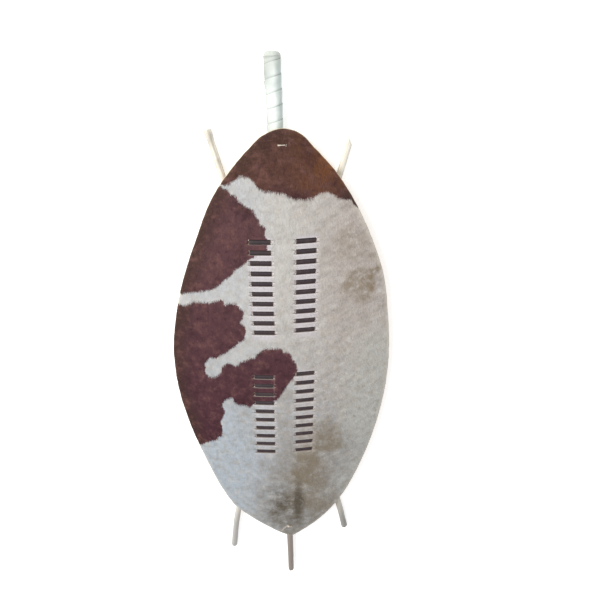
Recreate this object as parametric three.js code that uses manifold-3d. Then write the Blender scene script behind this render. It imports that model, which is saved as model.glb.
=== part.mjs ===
// A laced hide shield lying face up: a hide, four dark laces, a pole with a wound head, two ties, two sticks.
// Millimetres, +Z up. The floor is z = 0 and the pole's axis lies above the Y axis, head towards +Y.
import * as THREE from 'three';
import { mergeVertices } from 'three/addons/utils/BufferGeometryUtils.js';
import Module from 'manifold-3d';

const wasm = await Module();
wasm.setup();

// Driving sizes
const clearance = 0.4;
const hideLength = 900;
const hideHalfWidth = 216;
const hideThickness = 3.5;
const hideSideShift = 9;
const hideTurn = THREE.MathUtils.degToRad(-0.63);
const hideSag = 35;
const hideRows = 30;
const hideColumns = 12;

const poleDiameter = 15;
const poleFootDiameter = 13.2;
const poleBeyondFoot = 117;
const poleSides = 12;
const poleEndRound = 6;

const wrapDiameter = 30;
const wrapBeyondTip = 122;
const wrapUnderTip = 15;
const wrapStripWidth = 24;
const wrapStripStep = 0.8;
const wrapFlatDepth = 1.2;
const wrapCrown = 9;
const wrapSides = 18;
const wrapRowsPerStrip = 3;

const leftStick = { topDiameter: 13.3, footDiameter: 14.5, slant: 0, flatDepth: 0.5 };
const rightStick = { topDiameter: 12.3, footDiameter: 14.2, slant: -7, flatDepth: 0.5 };
const stickSides = 8;
const stickSteps = 24;
const stickEndRound = 7;
const stickBow = 2.25;

const laceThickness = 1.6;
const laceTail = 11;
const laceUnderHide = 0.5;
const windowCount = 10;
const windowHeight = 9.6;
const windowEndRoom = 3.5;
const barWidth = 3.6;
const barThickness = 2.6;
const barEmbed = 3;
const barDrop = 1.3;

const thongWidth = 3.2;
const thongThickness = 1.5;
const headTieFromTip = 28;
const headTieStitch = { left: 4, right: 18 };
const footTieFromTip = 33;
const footTieStitch = { left: -5, right: 7 };

// Plan of the hide's edge, from the head tip down the right side and up the left, in shares of
// half the length and of the half width. It is hand cut, so the two sides differ a little.
const hideEdgeShares = [
  [0, 1], [0.147, 0.978], [0.242, 0.933], [0.414, 0.844], [0.57, 0.733], [0.73, 0.578],
  [0.86, 0.4], [0.914, 0.222], [0.942, 0.044], [0.923, -0.133], [0.856, -0.311], [0.746, -0.489],
  [0.597, -0.667], [0.525, -0.733], [0.436, -0.8], [0.282, -0.889], [0.182, -0.933], [0.072, -0.978],
  [0, -1], [-0.1, -0.978], [-0.235, -0.933], [-0.358, -0.889], [-0.47, -0.844], [-0.569, -0.8],
  [-0.652, -0.733], [-0.718, -0.667], [-0.858, -0.489], [-0.975, -0.311], [-1.05, -0.133],
  [-1.062, 0.044], [-1.006, 0.222], [-0.901, 0.4], [-0.753, 0.578], [-0.606, 0.733],
  [-0.439, 0.844], [-0.267, 0.933], [-0.155, 0.978],
];

// Plan routes of the two sticks: end, where the hide's edge crosses it, the crossing, edge, end.
const leftStickRoute = [[-120, 449], [-97, 362], [4.5, 17], [112, -366], [128, -444]];
const rightStickRoute = [[131, 425], [112, 365], [5, 17], [-114, -378], [-133, -495]];

// The four laces: middle of the first and the last window across the hide, first window along it,
// distance from window to window, the lace's width, and how far its slits lean.
const upperLeftLace = { firstAcross: -45.5, lastAcross: -43, firstAlong: 254.5, pitch: 19.7, width: 39.5, lean: 0 };
const upperRightLace = { firstAcross: 38.2, lastAcross: 35.2, firstAlong: 256.5, pitch: 19.3, width: 36.5, lean: 0.05 };
const lowerLeftLace = { firstAcross: -47, lastAcross: -48.5, firstAlong: -19.5, pitch: 19.75, width: 38, lean: 0 };
const lowerRightLace = { firstAcross: 34.5, lastAcross: 30.2, firstAlong: -12, pitch: 20.1, width: 35.5, lean: 0.06 };
const laces = {
  lace_upper_left: upperLeftLace,
  lace_upper_right: upperRightLace,
  lace_lower_left: lowerLeftLace,
  lace_lower_right: lowerRightLace,
};

// Heights that follow from the sizes above
const poleHeight = wrapDiameter / 2 - wrapFlatDepth;
const poleTop = poleHeight + poleDiameter / 2;
const middleRadius = (stick) => (stick.topDiameter + stick.footDiameter) / 4;
const leftStickHeight = poleTop + clearance + middleRadius(leftStick);
const rightStickHeight = leftStickHeight + middleRadius(leftStick) + clearance + middleRadius(rightStick);
const laceRoom = barThickness - barDrop + laceThickness + clearance * 3;
const hideCrest = rightStickHeight + middleRadius(rightStick) + laceRoom;
const headTipHeight = poleHeight + wrapDiameter / 2 + clearance * 2;
const footTipHeight = poleTop + clearance * 2;
const hideHalfLength = hideLength / 2;
const poleHeadEnd = hideHalfLength + wrapBeyondTip - wrapCrown;
const poleFootEnd = -(hideHalfLength + poleBeyondFoot);

// A closed body through rings of points, each ring counter-clockwise seen from the first one's side.
// Rings that shrink to a point or a line need no cap.
function ringBody(rings, capped = true) {
  const positions = rings.flat().flatMap((p) => [p.x, p.y, p.z]);
  const count = rings[0].length;
  const faces = [];
  const at = (ring, i) => ring * count + (i % count);
  for (let ring = 0; ring + 1 < rings.length; ring += 1) {
    for (let i = 0; i < count; i += 1) {
      faces.push(at(ring, i), at(ring, i + 1), at(ring + 1, i + 1));
      faces.push(at(ring, i), at(ring + 1, i + 1), at(ring + 1, i));
    }
  }
  if (capped) {
    const last = rings.length - 1;
    for (let i = 1; i + 1 < count; i += 1) {
      faces.push(at(0, 0), at(0, i + 1), at(0, i));
      faces.push(at(last, 0), at(last, i), at(last, i + 1));
    }
  }
  const geometry = new THREE.BufferGeometry();
  geometry.setAttribute('position', new THREE.Float32BufferAttribute(positions, 3));
  geometry.setIndex(faces);
  return outward(withoutSlivers(mergeVertices(geometry, 1e-4)));
}

// Drops the triangles that lost a side when their corners met.
function withoutSlivers(geometry) {
  const index = geometry.index.array;
  const kept = [];
  for (let i = 0; i < index.length; i += 3) {
    const [a, b, c] = [index[i], index[i + 1], index[i + 2]];
    if (a !== b && b !== c && c !== a) kept.push(a, b, c);
  }
  geometry.setIndex(kept);
  return geometry;
}

// Turns a closed body's faces outwards if its volume comes out negative.
function outward(geometry) {
  const position = geometry.attributes.position;
  const index = geometry.index.array;
  const [a, b, c] = [new THREE.Vector3(), new THREE.Vector3(), new THREE.Vector3()];
  let volume = 0;
  for (let i = 0; i < index.length; i += 3) {
    a.fromBufferAttribute(position, index[i]);
    b.fromBufferAttribute(position, index[i + 1]);
    c.fromBufferAttribute(position, index[i + 2]);
    volume += a.dot(b.cross(c));
  }
  if (volume < 0) index.reverse();
  return geometry;
}

function toSolid(geometry) {
  const bare = geometry.clone();
  bare.deleteAttribute('normal');
  bare.deleteAttribute('uv');
  const merged = mergeVertices(bare, 1e-4);
  const mesh = new wasm.Mesh({
    numProp: 3,
    vertProperties: new Float32Array(merged.attributes.position.array),
    triVerts: new Uint32Array(merged.index.array),
  });
  return new wasm.Manifold(mesh);
}

function toGeometry(solid) {
  const mesh = solid.getMesh();
  const geometry = new THREE.BufferGeometry();
  geometry.setAttribute('position', new THREE.BufferAttribute(mesh.vertProperties, 3));
  geometry.setIndex(new THREE.BufferAttribute(mesh.triVerts, 1));
  return geometry;
}

// Height of the hide's underside: tied down at both tips, lifted by the crossed sticks, arched across.
function undersideHeight(across, along) {
  const share = along / hideHalfLength;
  const tips = THREE.MathUtils.mapLinear(share, -1, 1, footTipHeight, headTipHeight);
  const lift = hideCrest - (footTipHeight + headTipHeight) / 2;
  const arch = hideSag * ((across + hideSideShift) / hideHalfWidth) ** 2;
  return tips + lift * (1 - Math.min(1, Math.abs(share)) ** 3) - arch;
}

// A point of the hide, given across and along it and above its underside.
function onHide(across, along, above) {
  const step = 1;
  const slopeAcross = undersideHeight(across + step, along) - undersideHeight(across - step, along);
  const slopeAlong = undersideHeight(across, along + step) - undersideHeight(across, along - step);
  const normal = new THREE.Vector3(-slopeAcross, -slopeAlong, 2 * step).normalize();
  const point = new THREE.Vector3(across, along, undersideHeight(across, along));
  point.addScaledVector(normal, above);
  point.applyAxisAngle(new THREE.Vector3(0, 0, 1), hideTurn);
  point.x += hideSideShift;
  return point;
}

// Where a line across the hide at one place along it meets the left and the right edge.
function edgeFinder() {
  const points = hideEdgeShares.map(([across, along]) => {
    return new THREE.Vector3(across * hideHalfWidth, along * hideHalfLength, 0);
  });
  const edge = new THREE.CatmullRomCurve3(points, true, 'centripetal').getPoints(1200);
  return (along) => {
    const crossings = [];
    for (let i = 0; i + 1 < edge.length; i += 1) {
      const [a, b] = [edge[i], edge[i + 1]];
      if ((a.y > along) !== (b.y > along)) {
        crossings.push(THREE.MathUtils.mapLinear(along, a.y, b.y, a.x, b.x));
      }
    }
    return crossings.length < 2 ? [0, 0] : [Math.min(...crossings), Math.max(...crossings)];
  };
}

// A block that follows the hide's slope and leans with a lace's slits.
function slopedBlock({ middle, along, tilt, halfWidth, halfHeight, below, above }) {
  const rings = [-halfWidth, halfWidth].map((offset) => {
    const centre = along + offset * tilt;
    return [
      onHide(middle + offset, centre - halfHeight, below),
      onHide(middle + offset, centre + halfHeight, below),
      onHide(middle + offset, centre + halfHeight, above),
      onHide(middle + offset, centre - halfHeight, above),
    ];
  });
  return ringBody(rings);
}

function laceWindows(group) {
  return Array.from({ length: windowCount }, (_, i) => ({
    middle: THREE.MathUtils.lerp(group.firstAcross, group.lastAcross, i / (windowCount - 1)),
    along: group.firstAlong - i * group.pitch,
    tilt: group.lean,
  }));
}

// The hide's plain body, without windows.
function hideBlank() {
  const edgesAt = edgeFinder();
  const rings = [];
  for (let row = 0; row <= hideRows; row += 1) {
    const along = -hideHalfLength * Math.cos((Math.PI * row) / hideRows);
    const [left, right] = row === 0 || row === hideRows ? [0, 0] : edgesAt(along);
    const across = Array.from({ length: hideColumns + 1 }, (_, i) => {
      return THREE.MathUtils.lerp(left, right, i / hideColumns);
    });
    const top = across.map((u) => onHide(u, along, hideThickness));
    const under = across.map((u) => onHide(u, along, 0)).reverse();
    rings.push([...top, ...under]);
  }
  return ringBody(rings, false);
}

// The hide with a window for each pass of the laces, a narrow bar left in it, and the tie holes.
function hideFace() {
  let solid = toSolid(hideBlank());
  const bars = [];
  for (const group of Object.values(laces)) {
    const halfWidth = group.width / 2 + windowEndRoom;
    for (const place of laceWindows(group)) {
      const opening = { halfWidth, halfHeight: windowHeight / 2, below: -3, above: hideThickness + 3 };
      solid = solid.subtract(toSolid(slopedBlock({ ...place, ...opening })));
      const top = barThickness - barDrop;
      const bar = { halfWidth: halfWidth + barEmbed, halfHeight: barWidth / 2, below: -barDrop, above: top };
      bars.push(toSolid(slopedBlock({ ...place, ...bar })));
    }
  }
  for (const bar of bars) solid = solid.add(bar);
  for (const hole of tieHoles()) solid = solid.subtract(toSolid(hole));
  return toGeometry(solid);
}

// One flat lace: behind the bands, up through a slit, over the bar and down again, window by window.
function lace(group) {
  const behind = -laceUnderHide - laceThickness / 2;
  const front = barThickness - barDrop + clearance + laceThickness / 2;
  const rise = (barWidth / 2 + windowHeight / 2) / 2;
  const windows = laceWindows(group);
  const route = [[windows[0].along + rise + laceTail, behind]];
  for (const { along } of windows) {
    route.push([along + rise, behind], [along + rise, front], [along - rise, front], [along - rise, behind]);
  }
  route.push([windows.at(-1).along - rise - laceTail, behind]);
  const path = route.map(([along, above]) => new THREE.Vector2(along, above));
  const sides = mitredSides(path, laceThickness / 2, false);
  const firstAlong = windows[0].along;
  const span = windows.at(-1).along - firstAlong;
  const rings = path.map((centre, i) => {
    const middle = THREE.MathUtils.lerp(group.firstAcross, group.lastAcross, (centre.x - firstAlong) / span);
    const place = (offset, point) => onHide(middle + offset, point.x + offset * group.lean, point.y);
    const offsets = [-group.width / 2, 0, group.width / 2];
    const upper = offsets.map((offset) => place(offset, sides.left[i]));
    const lower = offsets.map((offset) => place(offset, sides.right[i])).reverse();
    return [...upper, ...lower];
  });
  return ringBody(rings);
}

// Both sides of a flat line, mitred at its corners.
function mitredSides(path, reach, closed) {
  const left = [];
  const right = [];
  path.forEach((point, i) => {
    const before = path[i - 1] ?? (closed ? path.at(-1) : null);
    const after = path[i + 1] ?? (closed ? path[0] : null);
    const into = point.clone().sub(before ?? point).normalize();
    const out = (after ?? point).clone().sub(point).normalize();
    const normalIn = new THREE.Vector2(-into.y, into.x);
    const normalOut = new THREE.Vector2(-out.y, out.x);
    const mitre = normalIn.clone().add(normalOut).normalize();
    const square = before ? normalIn : normalOut;
    mitre.multiplyScalar(reach / mitre.dot(square));
    left.push(point.clone().add(mitre));
    right.push(point.clone().sub(mitre));
  });
  return { left, right };
}

// The pole: round, with a rounded foot. Turned so that a flat side faces straight down.
function poleBody() {
  const radius = poleDiameter / 2;
  const footRadius = poleFootDiameter / 2;
  const foot = poleFootEnd;
  const profile = [[0, foot]];
  for (const angle of [22.5, 45, 67.5, 90].map(THREE.MathUtils.degToRad)) {
    profile.push([footRadius * Math.sin(angle), foot + poleEndRound * (1 - Math.cos(angle))]);
  }
  profile.push([radius, -hideHalfLength], [radius, poleHeadEnd - clearance], [0, poleHeadEnd - clearance]);
  const points = profile.map(([r, along]) => new THREE.Vector2(r, along));
  const geometry = new THREE.LatheGeometry(points, poleSides);
  geometry.rotateY(Math.PI / poleSides);
  geometry.translate(0, 0, poleHeight);
  geometry.deleteAttribute('normal');
  geometry.deleteAttribute('uv');
  return outward(withoutSlivers(mergeVertices(geometry, 1e-4)));
}

// The wound head: a sleeve with the steps of a strip wound in a spiral, closed and domed over the pole.
function wrapSleeve() {
  const start = hideHalfLength - wrapUnderTip;
  const end = hideHalfLength + wrapBeyondTip;
  const shoulder = end - wrapCrown;
  const bore = poleDiameter / 2 + clearance;
  const rows = Math.round((shoulder - start) / (wrapStripWidth / wrapRowsPerStrip));
  const ring = (along, radiusAt) => Array.from({ length: wrapSides }, (_, i) => {
    const angle = (2 * Math.PI * (i + 0.5)) / wrapSides;
    const radius = radiusAt(i / wrapSides, along);
    const height = Math.max(poleHeight + radius * Math.cos(angle), 0);
    return new THREE.Vector3(radius * Math.sin(angle), along, height);
  });
  const stepped = (turn, along) => {
    const wound = THREE.MathUtils.euclideanModulo((along - start) / wrapStripWidth - turn, 1);
    return wrapDiameter / 2 - wrapStripStep * (1 - wound);
  };
  const point = (along) => Array.from({ length: wrapSides }, () => new THREE.Vector3(0, along, poleHeight));
  const rings = [point(poleHeadEnd), ring(poleHeadEnd, () => bore), ring(start, () => bore)];
  for (let row = 0; row <= rows; row += 1) {
    rings.push(ring(THREE.MathUtils.lerp(start, shoulder, row / rows), stepped));
  }
  for (const angle of [30, 60].map(THREE.MathUtils.degToRad)) {
    const shrink = (turn, along) => stepped(turn, along) * Math.cos(angle);
    rings.push(ring(shoulder + wrapCrown * Math.sin(angle), shrink));
  }
  rings.push(point(end));
  return ringBody(rings, false);
}

// A stick, sprung over the pole: highest where the two cross, its ends down on the floor.
function stickBody(stick, route, crossingHeight) {
  const plan = new THREE.CatmullRomCurve3(route.map(([x, y]) => new THREE.Vector3(x, y, 0)));
  const crossing = new THREE.Vector3(...route[2], 0);
  const endHeight = (radius) => radius - stick.flatDepth;
  const length = plan.getLength();
  const stations = [];
  for (let i = 0; i <= stickSteps; i += 1) {
    const share = i / stickSteps;
    const radius = THREE.MathUtils.lerp(stick.topDiameter, stick.footDiameter, share) / 2;
    stations.push({ share, radius });
  }
  const foot = stations.pop();
  for (const angle of [0, 35, 65].map(THREE.MathUtils.degToRad)) {
    const share = 1 - (stickEndRound * (1 - Math.sin(angle))) / length;
    stations.push({ share, radius: foot.radius * Math.cos(angle) });
  }
  const rings = stations.map(({ share, radius }) => {
    const centre = plan.getPointAt(share);
    const along = plan.getTangentAt(share);
    const side = new THREE.Vector3(along.y, -along.x, 0);
    const start = share * length < plan.getLength() / 2 ? route[0] : route.at(-1);
    const reach = centre.distanceTo(crossing) / crossing.distanceTo(new THREE.Vector3(...start, 0));
    const down = Math.min(1, reach ** 2 * (stickBow - (stickBow - 1) * reach));
    const endRadius = (share < 0.5 ? stick.topDiameter : stick.footDiameter) / 2;
    const height = THREE.MathUtils.lerp(crossingHeight, endHeight(endRadius), down);
    return Array.from({ length: stickSides }, (_, i) => {
      const angle = (2 * Math.PI * (i + 0.5)) / stickSides;
      const point = centre.clone().addScaledVector(side, radius * Math.cos(angle));
      if (share === 0) point.addScaledVector(along, stick.slant * Math.cos(angle));
      point.z = Math.max(height + radius * Math.sin(angle), 0);
      return point;
    });
  });
  return ringBody(rings);
}

// Places where a tie goes through the hide, across and along the pole.
function tiePlaces() {
  return [
    { along: hideHalfLength - headTieFromTip, stitch: headTieStitch },
    { along: footTieFromTip - hideHalfLength, stitch: footTieStitch },
  ];
}

// Height above the floor of the hide's hair side over a point of the floor.
function hairSideHeight(x, y) {
  const local = new THREE.Vector3(x - hideSideShift, y, 0);
  local.applyAxisAngle(new THREE.Vector3(0, 0, 1), -hideTurn);
  return undersideHeight(local.x, local.y) + hideThickness;
}

function tieHoles() {
  const holes = [];
  for (const { along, stitch } of tiePlaces()) {
    for (const x of [stitch.left, stitch.right]) {
      const height = 4 * hideThickness;
      const hole = new THREE.BoxGeometry(thongThickness + 2 * clearance, thongWidth + 2 * clearance, height);
      hole.translate(x, along, hairSideHeight(x, along) - hideThickness / 2);
      holes.push(hole);
    }
  }
  return holes;
}

// A thong in a closed loop: under the pole, up through one hole, across the hide and down the other.
function tieLoop({ along, stitch }) {
  const reach = poleDiameter / 2 + clearance + thongThickness / 2;
  const above = clearance * 2 + thongThickness / 2;
  const below = -2 * hideThickness;
  const corner = (x, offset) => new THREE.Vector2(x, hairSideHeight(x, along) + offset);
  const path = [corner(stitch.right, above), corner(stitch.left, above), corner(stitch.left, below)];
  for (let angle = 150; angle <= 390; angle += 20) {
    const turn = THREE.MathUtils.degToRad(angle);
    path.push(new THREE.Vector2(reach * Math.cos(turn), poleHeight + reach * Math.sin(turn)));
  }
  path.push(corner(stitch.right, below));
  const sides = mitredSides(path, thongThickness / 2, true);
  const ring = new THREE.Shape(sides.right);
  ring.holes.push(new THREE.Path(sides.left));
  const geometry = new THREE.ExtrudeGeometry(ring, { depth: thongWidth, bevelEnabled: false });
  geometry.rotateX(Math.PI / 2);
  geometry.translate(0, along + thongWidth / 2, 0);
  geometry.deleteAttribute('normal');
  geometry.deleteAttribute('uv');
  return outward(mergeVertices(geometry, 1e-4));
}

// Materials
const finish = (color, roughness) => new THREE.MeshStandardMaterial({ color, roughness, metalness: 0 });
const haired = finish(0xb9b5ad, 0.85);
const darkHide = finish(0x352c2c, 0.8);
const wood = finish(0xb9a98a, 0.6);
const paleWrap = finish(0xe6e4dc, 0.9);
const rawhide = finish(0xd8cbb2, 0.6);

// The object
const shield = new THREE.Group();
function addPiece(name, geometry, material) {
  const mesh = new THREE.Mesh(geometry, material);
  mesh.name = name;
  shield.add(mesh);
}
addPiece('hide_face', hideFace(), haired);
for (const [name, group] of Object.entries(laces)) addPiece(name, lace(group), darkHide);
addPiece('centre_pole', poleBody(), wood);
addPiece('head_wrap', wrapSleeve(), paleWrap);
const [headTie, footTie] = tiePlaces();
addPiece('head_tie', tieLoop(headTie), rawhide);
addPiece('foot_tie', tieLoop(footTie), rawhide);
addPiece('left_stick', stickBody(leftStick, leftStickRoute, leftStickHeight), wood);
addPiece('right_stick', stickBody(rightStick, rightStickRoute, rightStickHeight), wood);

// The origin is the middle of the underside of the whole.
const bounds = new THREE.Box3().setFromObject(shield);
const middle = bounds.getCenter(new THREE.Vector3());
shield.position.set(-middle.x, -middle.y, -bounds.min.z);

export default shield;
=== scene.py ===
import math

import bmesh
import bpy
import numpy as np
from mathutils import Matrix, Vector, geometry, noise


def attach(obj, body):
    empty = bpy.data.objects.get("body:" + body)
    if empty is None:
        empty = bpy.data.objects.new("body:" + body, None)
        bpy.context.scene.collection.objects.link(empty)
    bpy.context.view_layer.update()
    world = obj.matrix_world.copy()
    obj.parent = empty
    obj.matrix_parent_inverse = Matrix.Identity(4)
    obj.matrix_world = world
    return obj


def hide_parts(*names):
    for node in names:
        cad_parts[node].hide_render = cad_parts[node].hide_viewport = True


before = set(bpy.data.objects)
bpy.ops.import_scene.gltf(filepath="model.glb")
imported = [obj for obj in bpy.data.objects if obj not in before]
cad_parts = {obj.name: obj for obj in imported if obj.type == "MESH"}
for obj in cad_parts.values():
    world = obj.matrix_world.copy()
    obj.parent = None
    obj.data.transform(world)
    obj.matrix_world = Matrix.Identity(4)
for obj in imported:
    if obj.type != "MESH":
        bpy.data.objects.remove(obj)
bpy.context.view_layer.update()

# The view: the photograph's camera, looking down on the lying shield from above its head end.
# The pole leans a little to the left in the picture, so the camera is turned by the same angle.
CAMERA_PLACE = Vector((0.04886, 0.51086, 1.01406))
CAMERA_TILT = math.radians(21.1)
CAMERA_TURN = math.radians(-1.23)
SENSOR_WIDTH = 36.0
FOCAL_LENGTH = 33.0

view = bpy.data.cameras.new("view")
view.sensor_width = SENSOR_WIDTH
view.lens = FOCAL_LENGTH
camera = bpy.data.objects.new("view", view)
turn = Matrix.Rotation(CAMERA_TURN, 4, "Z") @ Matrix.Rotation(-CAMERA_TILT, 4, "X")
camera.matrix_world = Matrix.Translation(CAMERA_PLACE) @ turn
bpy.context.scene.collection.objects.link(camera)
bpy.context.scene.camera = camera

# The hide: one stiff cowhide, hair side up, cut to a pointed oval and tied to the pole at both tips.
# The crossed sticks lift its middle and its own stiffness arches it across. Lengths here are millimetres.
MM = 0.001
HALF_LENGTH = 450.0
HALF_WIDTH = 216.0
THICKNESS = 3.5
SIDE_SHIFT = 9.0
HIDE_TURN = math.radians(-0.63)
SAG = 35.0
CREST = 53.35
HEAD_TIP = 29.6
FOOT_TIP = 22.1
POLE_ACROSS = 4.355
FRAME_ALONG = -2.5
EDGE_BEVEL = 1.5
SLIT_BEVEL = 0.12
GRID_PITCH = 3.6
LACING_PITCH = 2.4
EDGE_STEPS = 12

# Plan of the edge in shares of the half width and half length, from the head tip clockwise.
EDGE_SHARES = [
    (0, 1), (0.147, 0.978), (0.242, 0.933), (0.414, 0.844), (0.57, 0.733), (0.73, 0.578),
    (0.86, 0.4), (0.914, 0.222), (0.942, 0.044), (0.923, -0.133), (0.856, -0.311), (0.746, -0.489),
    (0.597, -0.667), (0.525, -0.733), (0.436, -0.8), (0.282, -0.889), (0.182, -0.933), (0.072, -0.978),
    (0, -1), (-0.1, -0.978), (-0.235, -0.933), (-0.358, -0.889), (-0.47, -0.844), (-0.569, -0.8),
    (-0.652, -0.733), (-0.718, -0.667), (-0.858, -0.489), (-0.975, -0.311), (-1.05, -0.133),
    (-1.062, 0.044), (-1.006, 0.222), (-0.901, 0.4), (-0.753, 0.578), (-0.606, 0.733),
    (-0.439, 0.844), (-0.267, 0.933), (-0.155, 0.978),
]

# The four lacing groups: first and last window across, first window along, pitch, lace width, lean.
LACES = {
    "lace_upper_left": (-45.5, -43.0, 254.5, 19.7, 39.5, 0.0),
    "lace_upper_right": (38.2, 35.2, 256.5, 19.3, 36.5, 0.05),
    "lace_lower_left": (-47.0, -48.5, -19.5, 19.75, 38.0, 0.0),
    "lace_lower_right": (34.5, 30.2, -12.0, 20.1, 35.5, 0.06),
}
WINDOWS = 10
BAND_EDGE = 4.8
BAR_EDGE = 2.1
SLIT_OVERRUN = 7.5
BAR_DROP = 2.3


def smooth(x):
    x = np.clip(x, 0.0, 1.0)
    return x * x * (3 - 2 * x)


def through_points(points, steps, closed):
    """A smooth line through the points, centripetal, with the given steps between each two."""
    points = [np.array(p, float) for p in points]
    count = len(points)
    if not closed:
        points = [2 * points[0] - points[1], *points, 2 * points[-1] - points[-2]]
    line = []
    spans = range(count) if closed else range(1, count)
    for i in spans:
        if closed:
            a, b, c, d = (points[(i + k - 1) % count] for k in range(4))
        else:
            a, b, c, d = points[i - 1:i + 3]
        t1 = np.linalg.norm(b - a) ** 0.5
        t2 = t1 + np.linalg.norm(c - b) ** 0.5
        t3 = t2 + np.linalg.norm(d - c) ** 0.5
        for t in np.linspace(t1, t2, steps, endpoint=False):
            ab = a + (b - a) * t / t1
            bc = b + (c - b) * (t - t1) / (t2 - t1)
            cd = c + (d - c) * (t - t2) / (t3 - t2)
            abc = ab + (bc - ab) * t / t2
            bcd = bc + (cd - bc) * (t - t1) / (t3 - t1)
            line.append(abc + (bcd - abc) * (t - t1) / (t2 - t1))
    if not closed:
        line.append(points[-2])
    return np.array(line)


def wobble(u, v, size, seed, depth=2):
    """Smooth noise between about -1 and 1 over the hide's plane."""
    u = np.atleast_1d(u)
    v = np.atleast_1d(v)
    place = (Vector((a / size, b / size, seed)) for a, b in zip(u, v))
    return np.array([noise.fractal(p, 1.0, 2.0, depth) for p in place])


def underside(u, v):
    share = v / HALF_LENGTH
    tips = FOOT_TIP + (HEAD_TIP - FOOT_TIP) * (share + 1) / 2
    lift = (CREST - (HEAD_TIP + FOOT_TIP) / 2) * (1 - np.minimum(1, np.abs(share)) ** 3)
    return tips + lift - SAG * ((u + SIDE_SHIFT) / HALF_WIDTH) ** 2


def on_hide(u, v, above):
    """Points in metres, from millimetres across and along the hide and above its underside."""
    u = np.asarray(u, float)
    v = np.asarray(v, float)
    slope_u = (underside(u + 1, v) - underside(u - 1, v)) / 2
    slope_v = (underside(u, v + 1) - underside(u, v - 1)) / 2
    length = np.sqrt(slope_u ** 2 + slope_v ** 2 + 1)
    x = u - slope_u / length * above
    y = v - slope_v / length * above
    z = underside(u, v) + above / length
    across = math.cos(HIDE_TURN) * x - math.sin(HIDE_TURN) * y + SIDE_SHIFT + POLE_ACROSS
    along = math.sin(HIDE_TURN) * x + math.cos(HIDE_TURN) * y + FRAME_ALONG
    return np.stack([across, along, z], -1) * MM


def inside(loop, u, v):
    """Which points lie inside a closed loop, by crossings."""
    result = np.zeros(len(u), bool)
    for (u0, v0), (u1, v1) in zip(loop, np.roll(loop, -1, 0)):
        between = (v0 > v) != (v1 > v)
        at = u0 + (u1 - u0) * (v - v0) / (v1 - v0 if v1 != v0 else 1)
        result ^= between & (u < at)
    return result


def distance(loop, u, v):
    """How far each point is from a closed loop."""
    nearest = np.full(len(u), 1e9)
    for (u0, v0), (u1, v1) in zip(loop, np.roll(loop, -1, 0)):
        du, dv = u1 - u0, v1 - v0
        t = np.clip(((u - u0) * du + (v - v0) * dv) / (du * du + dv * dv + 1e-12), 0, 1)
        nearest = np.minimum(nearest, np.hypot(u - u0 - t * du, v - v0 - t * dv))
    return nearest


def windows():
    """Each window of the lacing: middle across, along, lace width and lean."""
    places = []
    for first, last, along, pitch, width, lean in LACES.values():
        for i in range(WINDOWS):
            share = i / (WINDOWS - 1)
            places.append((first + (last - first) * share, along - i * pitch, width, lean))
    return places


def slit_spread(reach, width):
    """How far apart a slit's two lips are, as a share, at a distance across from its middle."""
    open_part = smooth(1 - (reach - width / 2 - 0.4) / 1.4)
    tail = np.clip((width / 2 + SLIT_OVERRUN - reach) / (SLIT_OVERRUN - 2), 0, 1)
    return open_part + (1 - open_part) * 0.36 * tail


def near_windows(u, v):
    """For each point the nearest window's own coordinates: reach across, height along, lace width."""
    best = np.full(len(u), 1e9)
    reach = np.full(len(u), 1e9)
    height = np.full(len(u), 1e9)
    lace = np.full(len(u), 40.0)
    for middle, along, width, lean in windows():
        across = u - middle
        up = v - along - across * lean
        far = np.hypot(np.maximum(np.abs(across) - width / 2, 0), up)
        closer = far < best
        best = np.where(closer, far, best)
        reach = np.where(closer, np.abs(across), reach)
        height = np.where(closer, up, height)
        lace = np.where(closer, width, lace)
    return reach, height, lace


edge_points = [(a * HALF_WIDTH, b * HALF_LENGTH) for a, b in EDGE_SHARES]
edge = through_points(edge_points, EDGE_STEPS, True)
edge_out = edge / np.linalg.norm(edge, axis=1)[:, None]
edge += edge_out * (0.7 * wobble(edge[:, 0], edge[:, 1], 14, 3.1))[:, None]

loops = [edge]
slit_middle = (BAND_EDGE + BAR_EDGE) / 2
slit_half = (BAND_EDGE - BAR_EDGE) / 2
for middle, along, width, lean in windows():
    end = width / 2 + SLIT_OVERRUN
    stations = np.array([-end, -end + 3, -width / 2 - 1.8, -width / 2 - 1.1, -width / 2 - 0.4, -width / 4])
    stations = np.concatenate([stations, [0], -stations[::-1]])
    spread = slit_spread(np.abs(stations), width) * slit_half
    for side in (1, -1):
        upper = along + stations * lean + side * slit_middle + spread
        lower = along + stations * lean + side * slit_middle - spread
        top_line = np.stack([middle + stations, upper], -1)
        low_line = np.stack([middle + stations, lower], -1)[1:-1][::-1]
        loops.append(np.concatenate([top_line, low_line]))


def grid_points(pitch, low_u, high_u, low_v, high_v):
    rows = np.arange(low_v, high_v, pitch * 0.866)
    cells = []
    for i, v in enumerate(rows):
        across = np.arange(low_u + (i % 2) * pitch / 2, high_u, pitch)
        cells.append(np.stack([across, np.full(len(across), v)], -1))
    return np.concatenate(cells)


TIES = {"head_tie": (422.0, 4.0, 18.0), "foot_tie": (-417.0, -5.0, 7.0)}
TIE_HOLE = [
    (-1.3, -1.4), (-0.6, -2.3), (0.6, -2.3), (1.3, -1.4), (1.3, 1.4), (0.6, 2.3), (-0.6, 2.3), (-1.3, 1.4),
]


def hide_place(x, y):
    """Across and along the hide, from millimetres beside and along the pole."""
    x = x - SIDE_SHIFT
    across = math.cos(HIDE_TURN) * x + math.sin(HIDE_TURN) * y
    return across, math.cos(HIDE_TURN) * y - math.sin(HIDE_TURN) * x


tie_holes = []
for along, left, right in TIES.values():
    for x in (left, right):
        tie_holes.append(np.array(hide_place(x, along)) + np.array(TIE_HOLE))
loops += tie_holes

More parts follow.
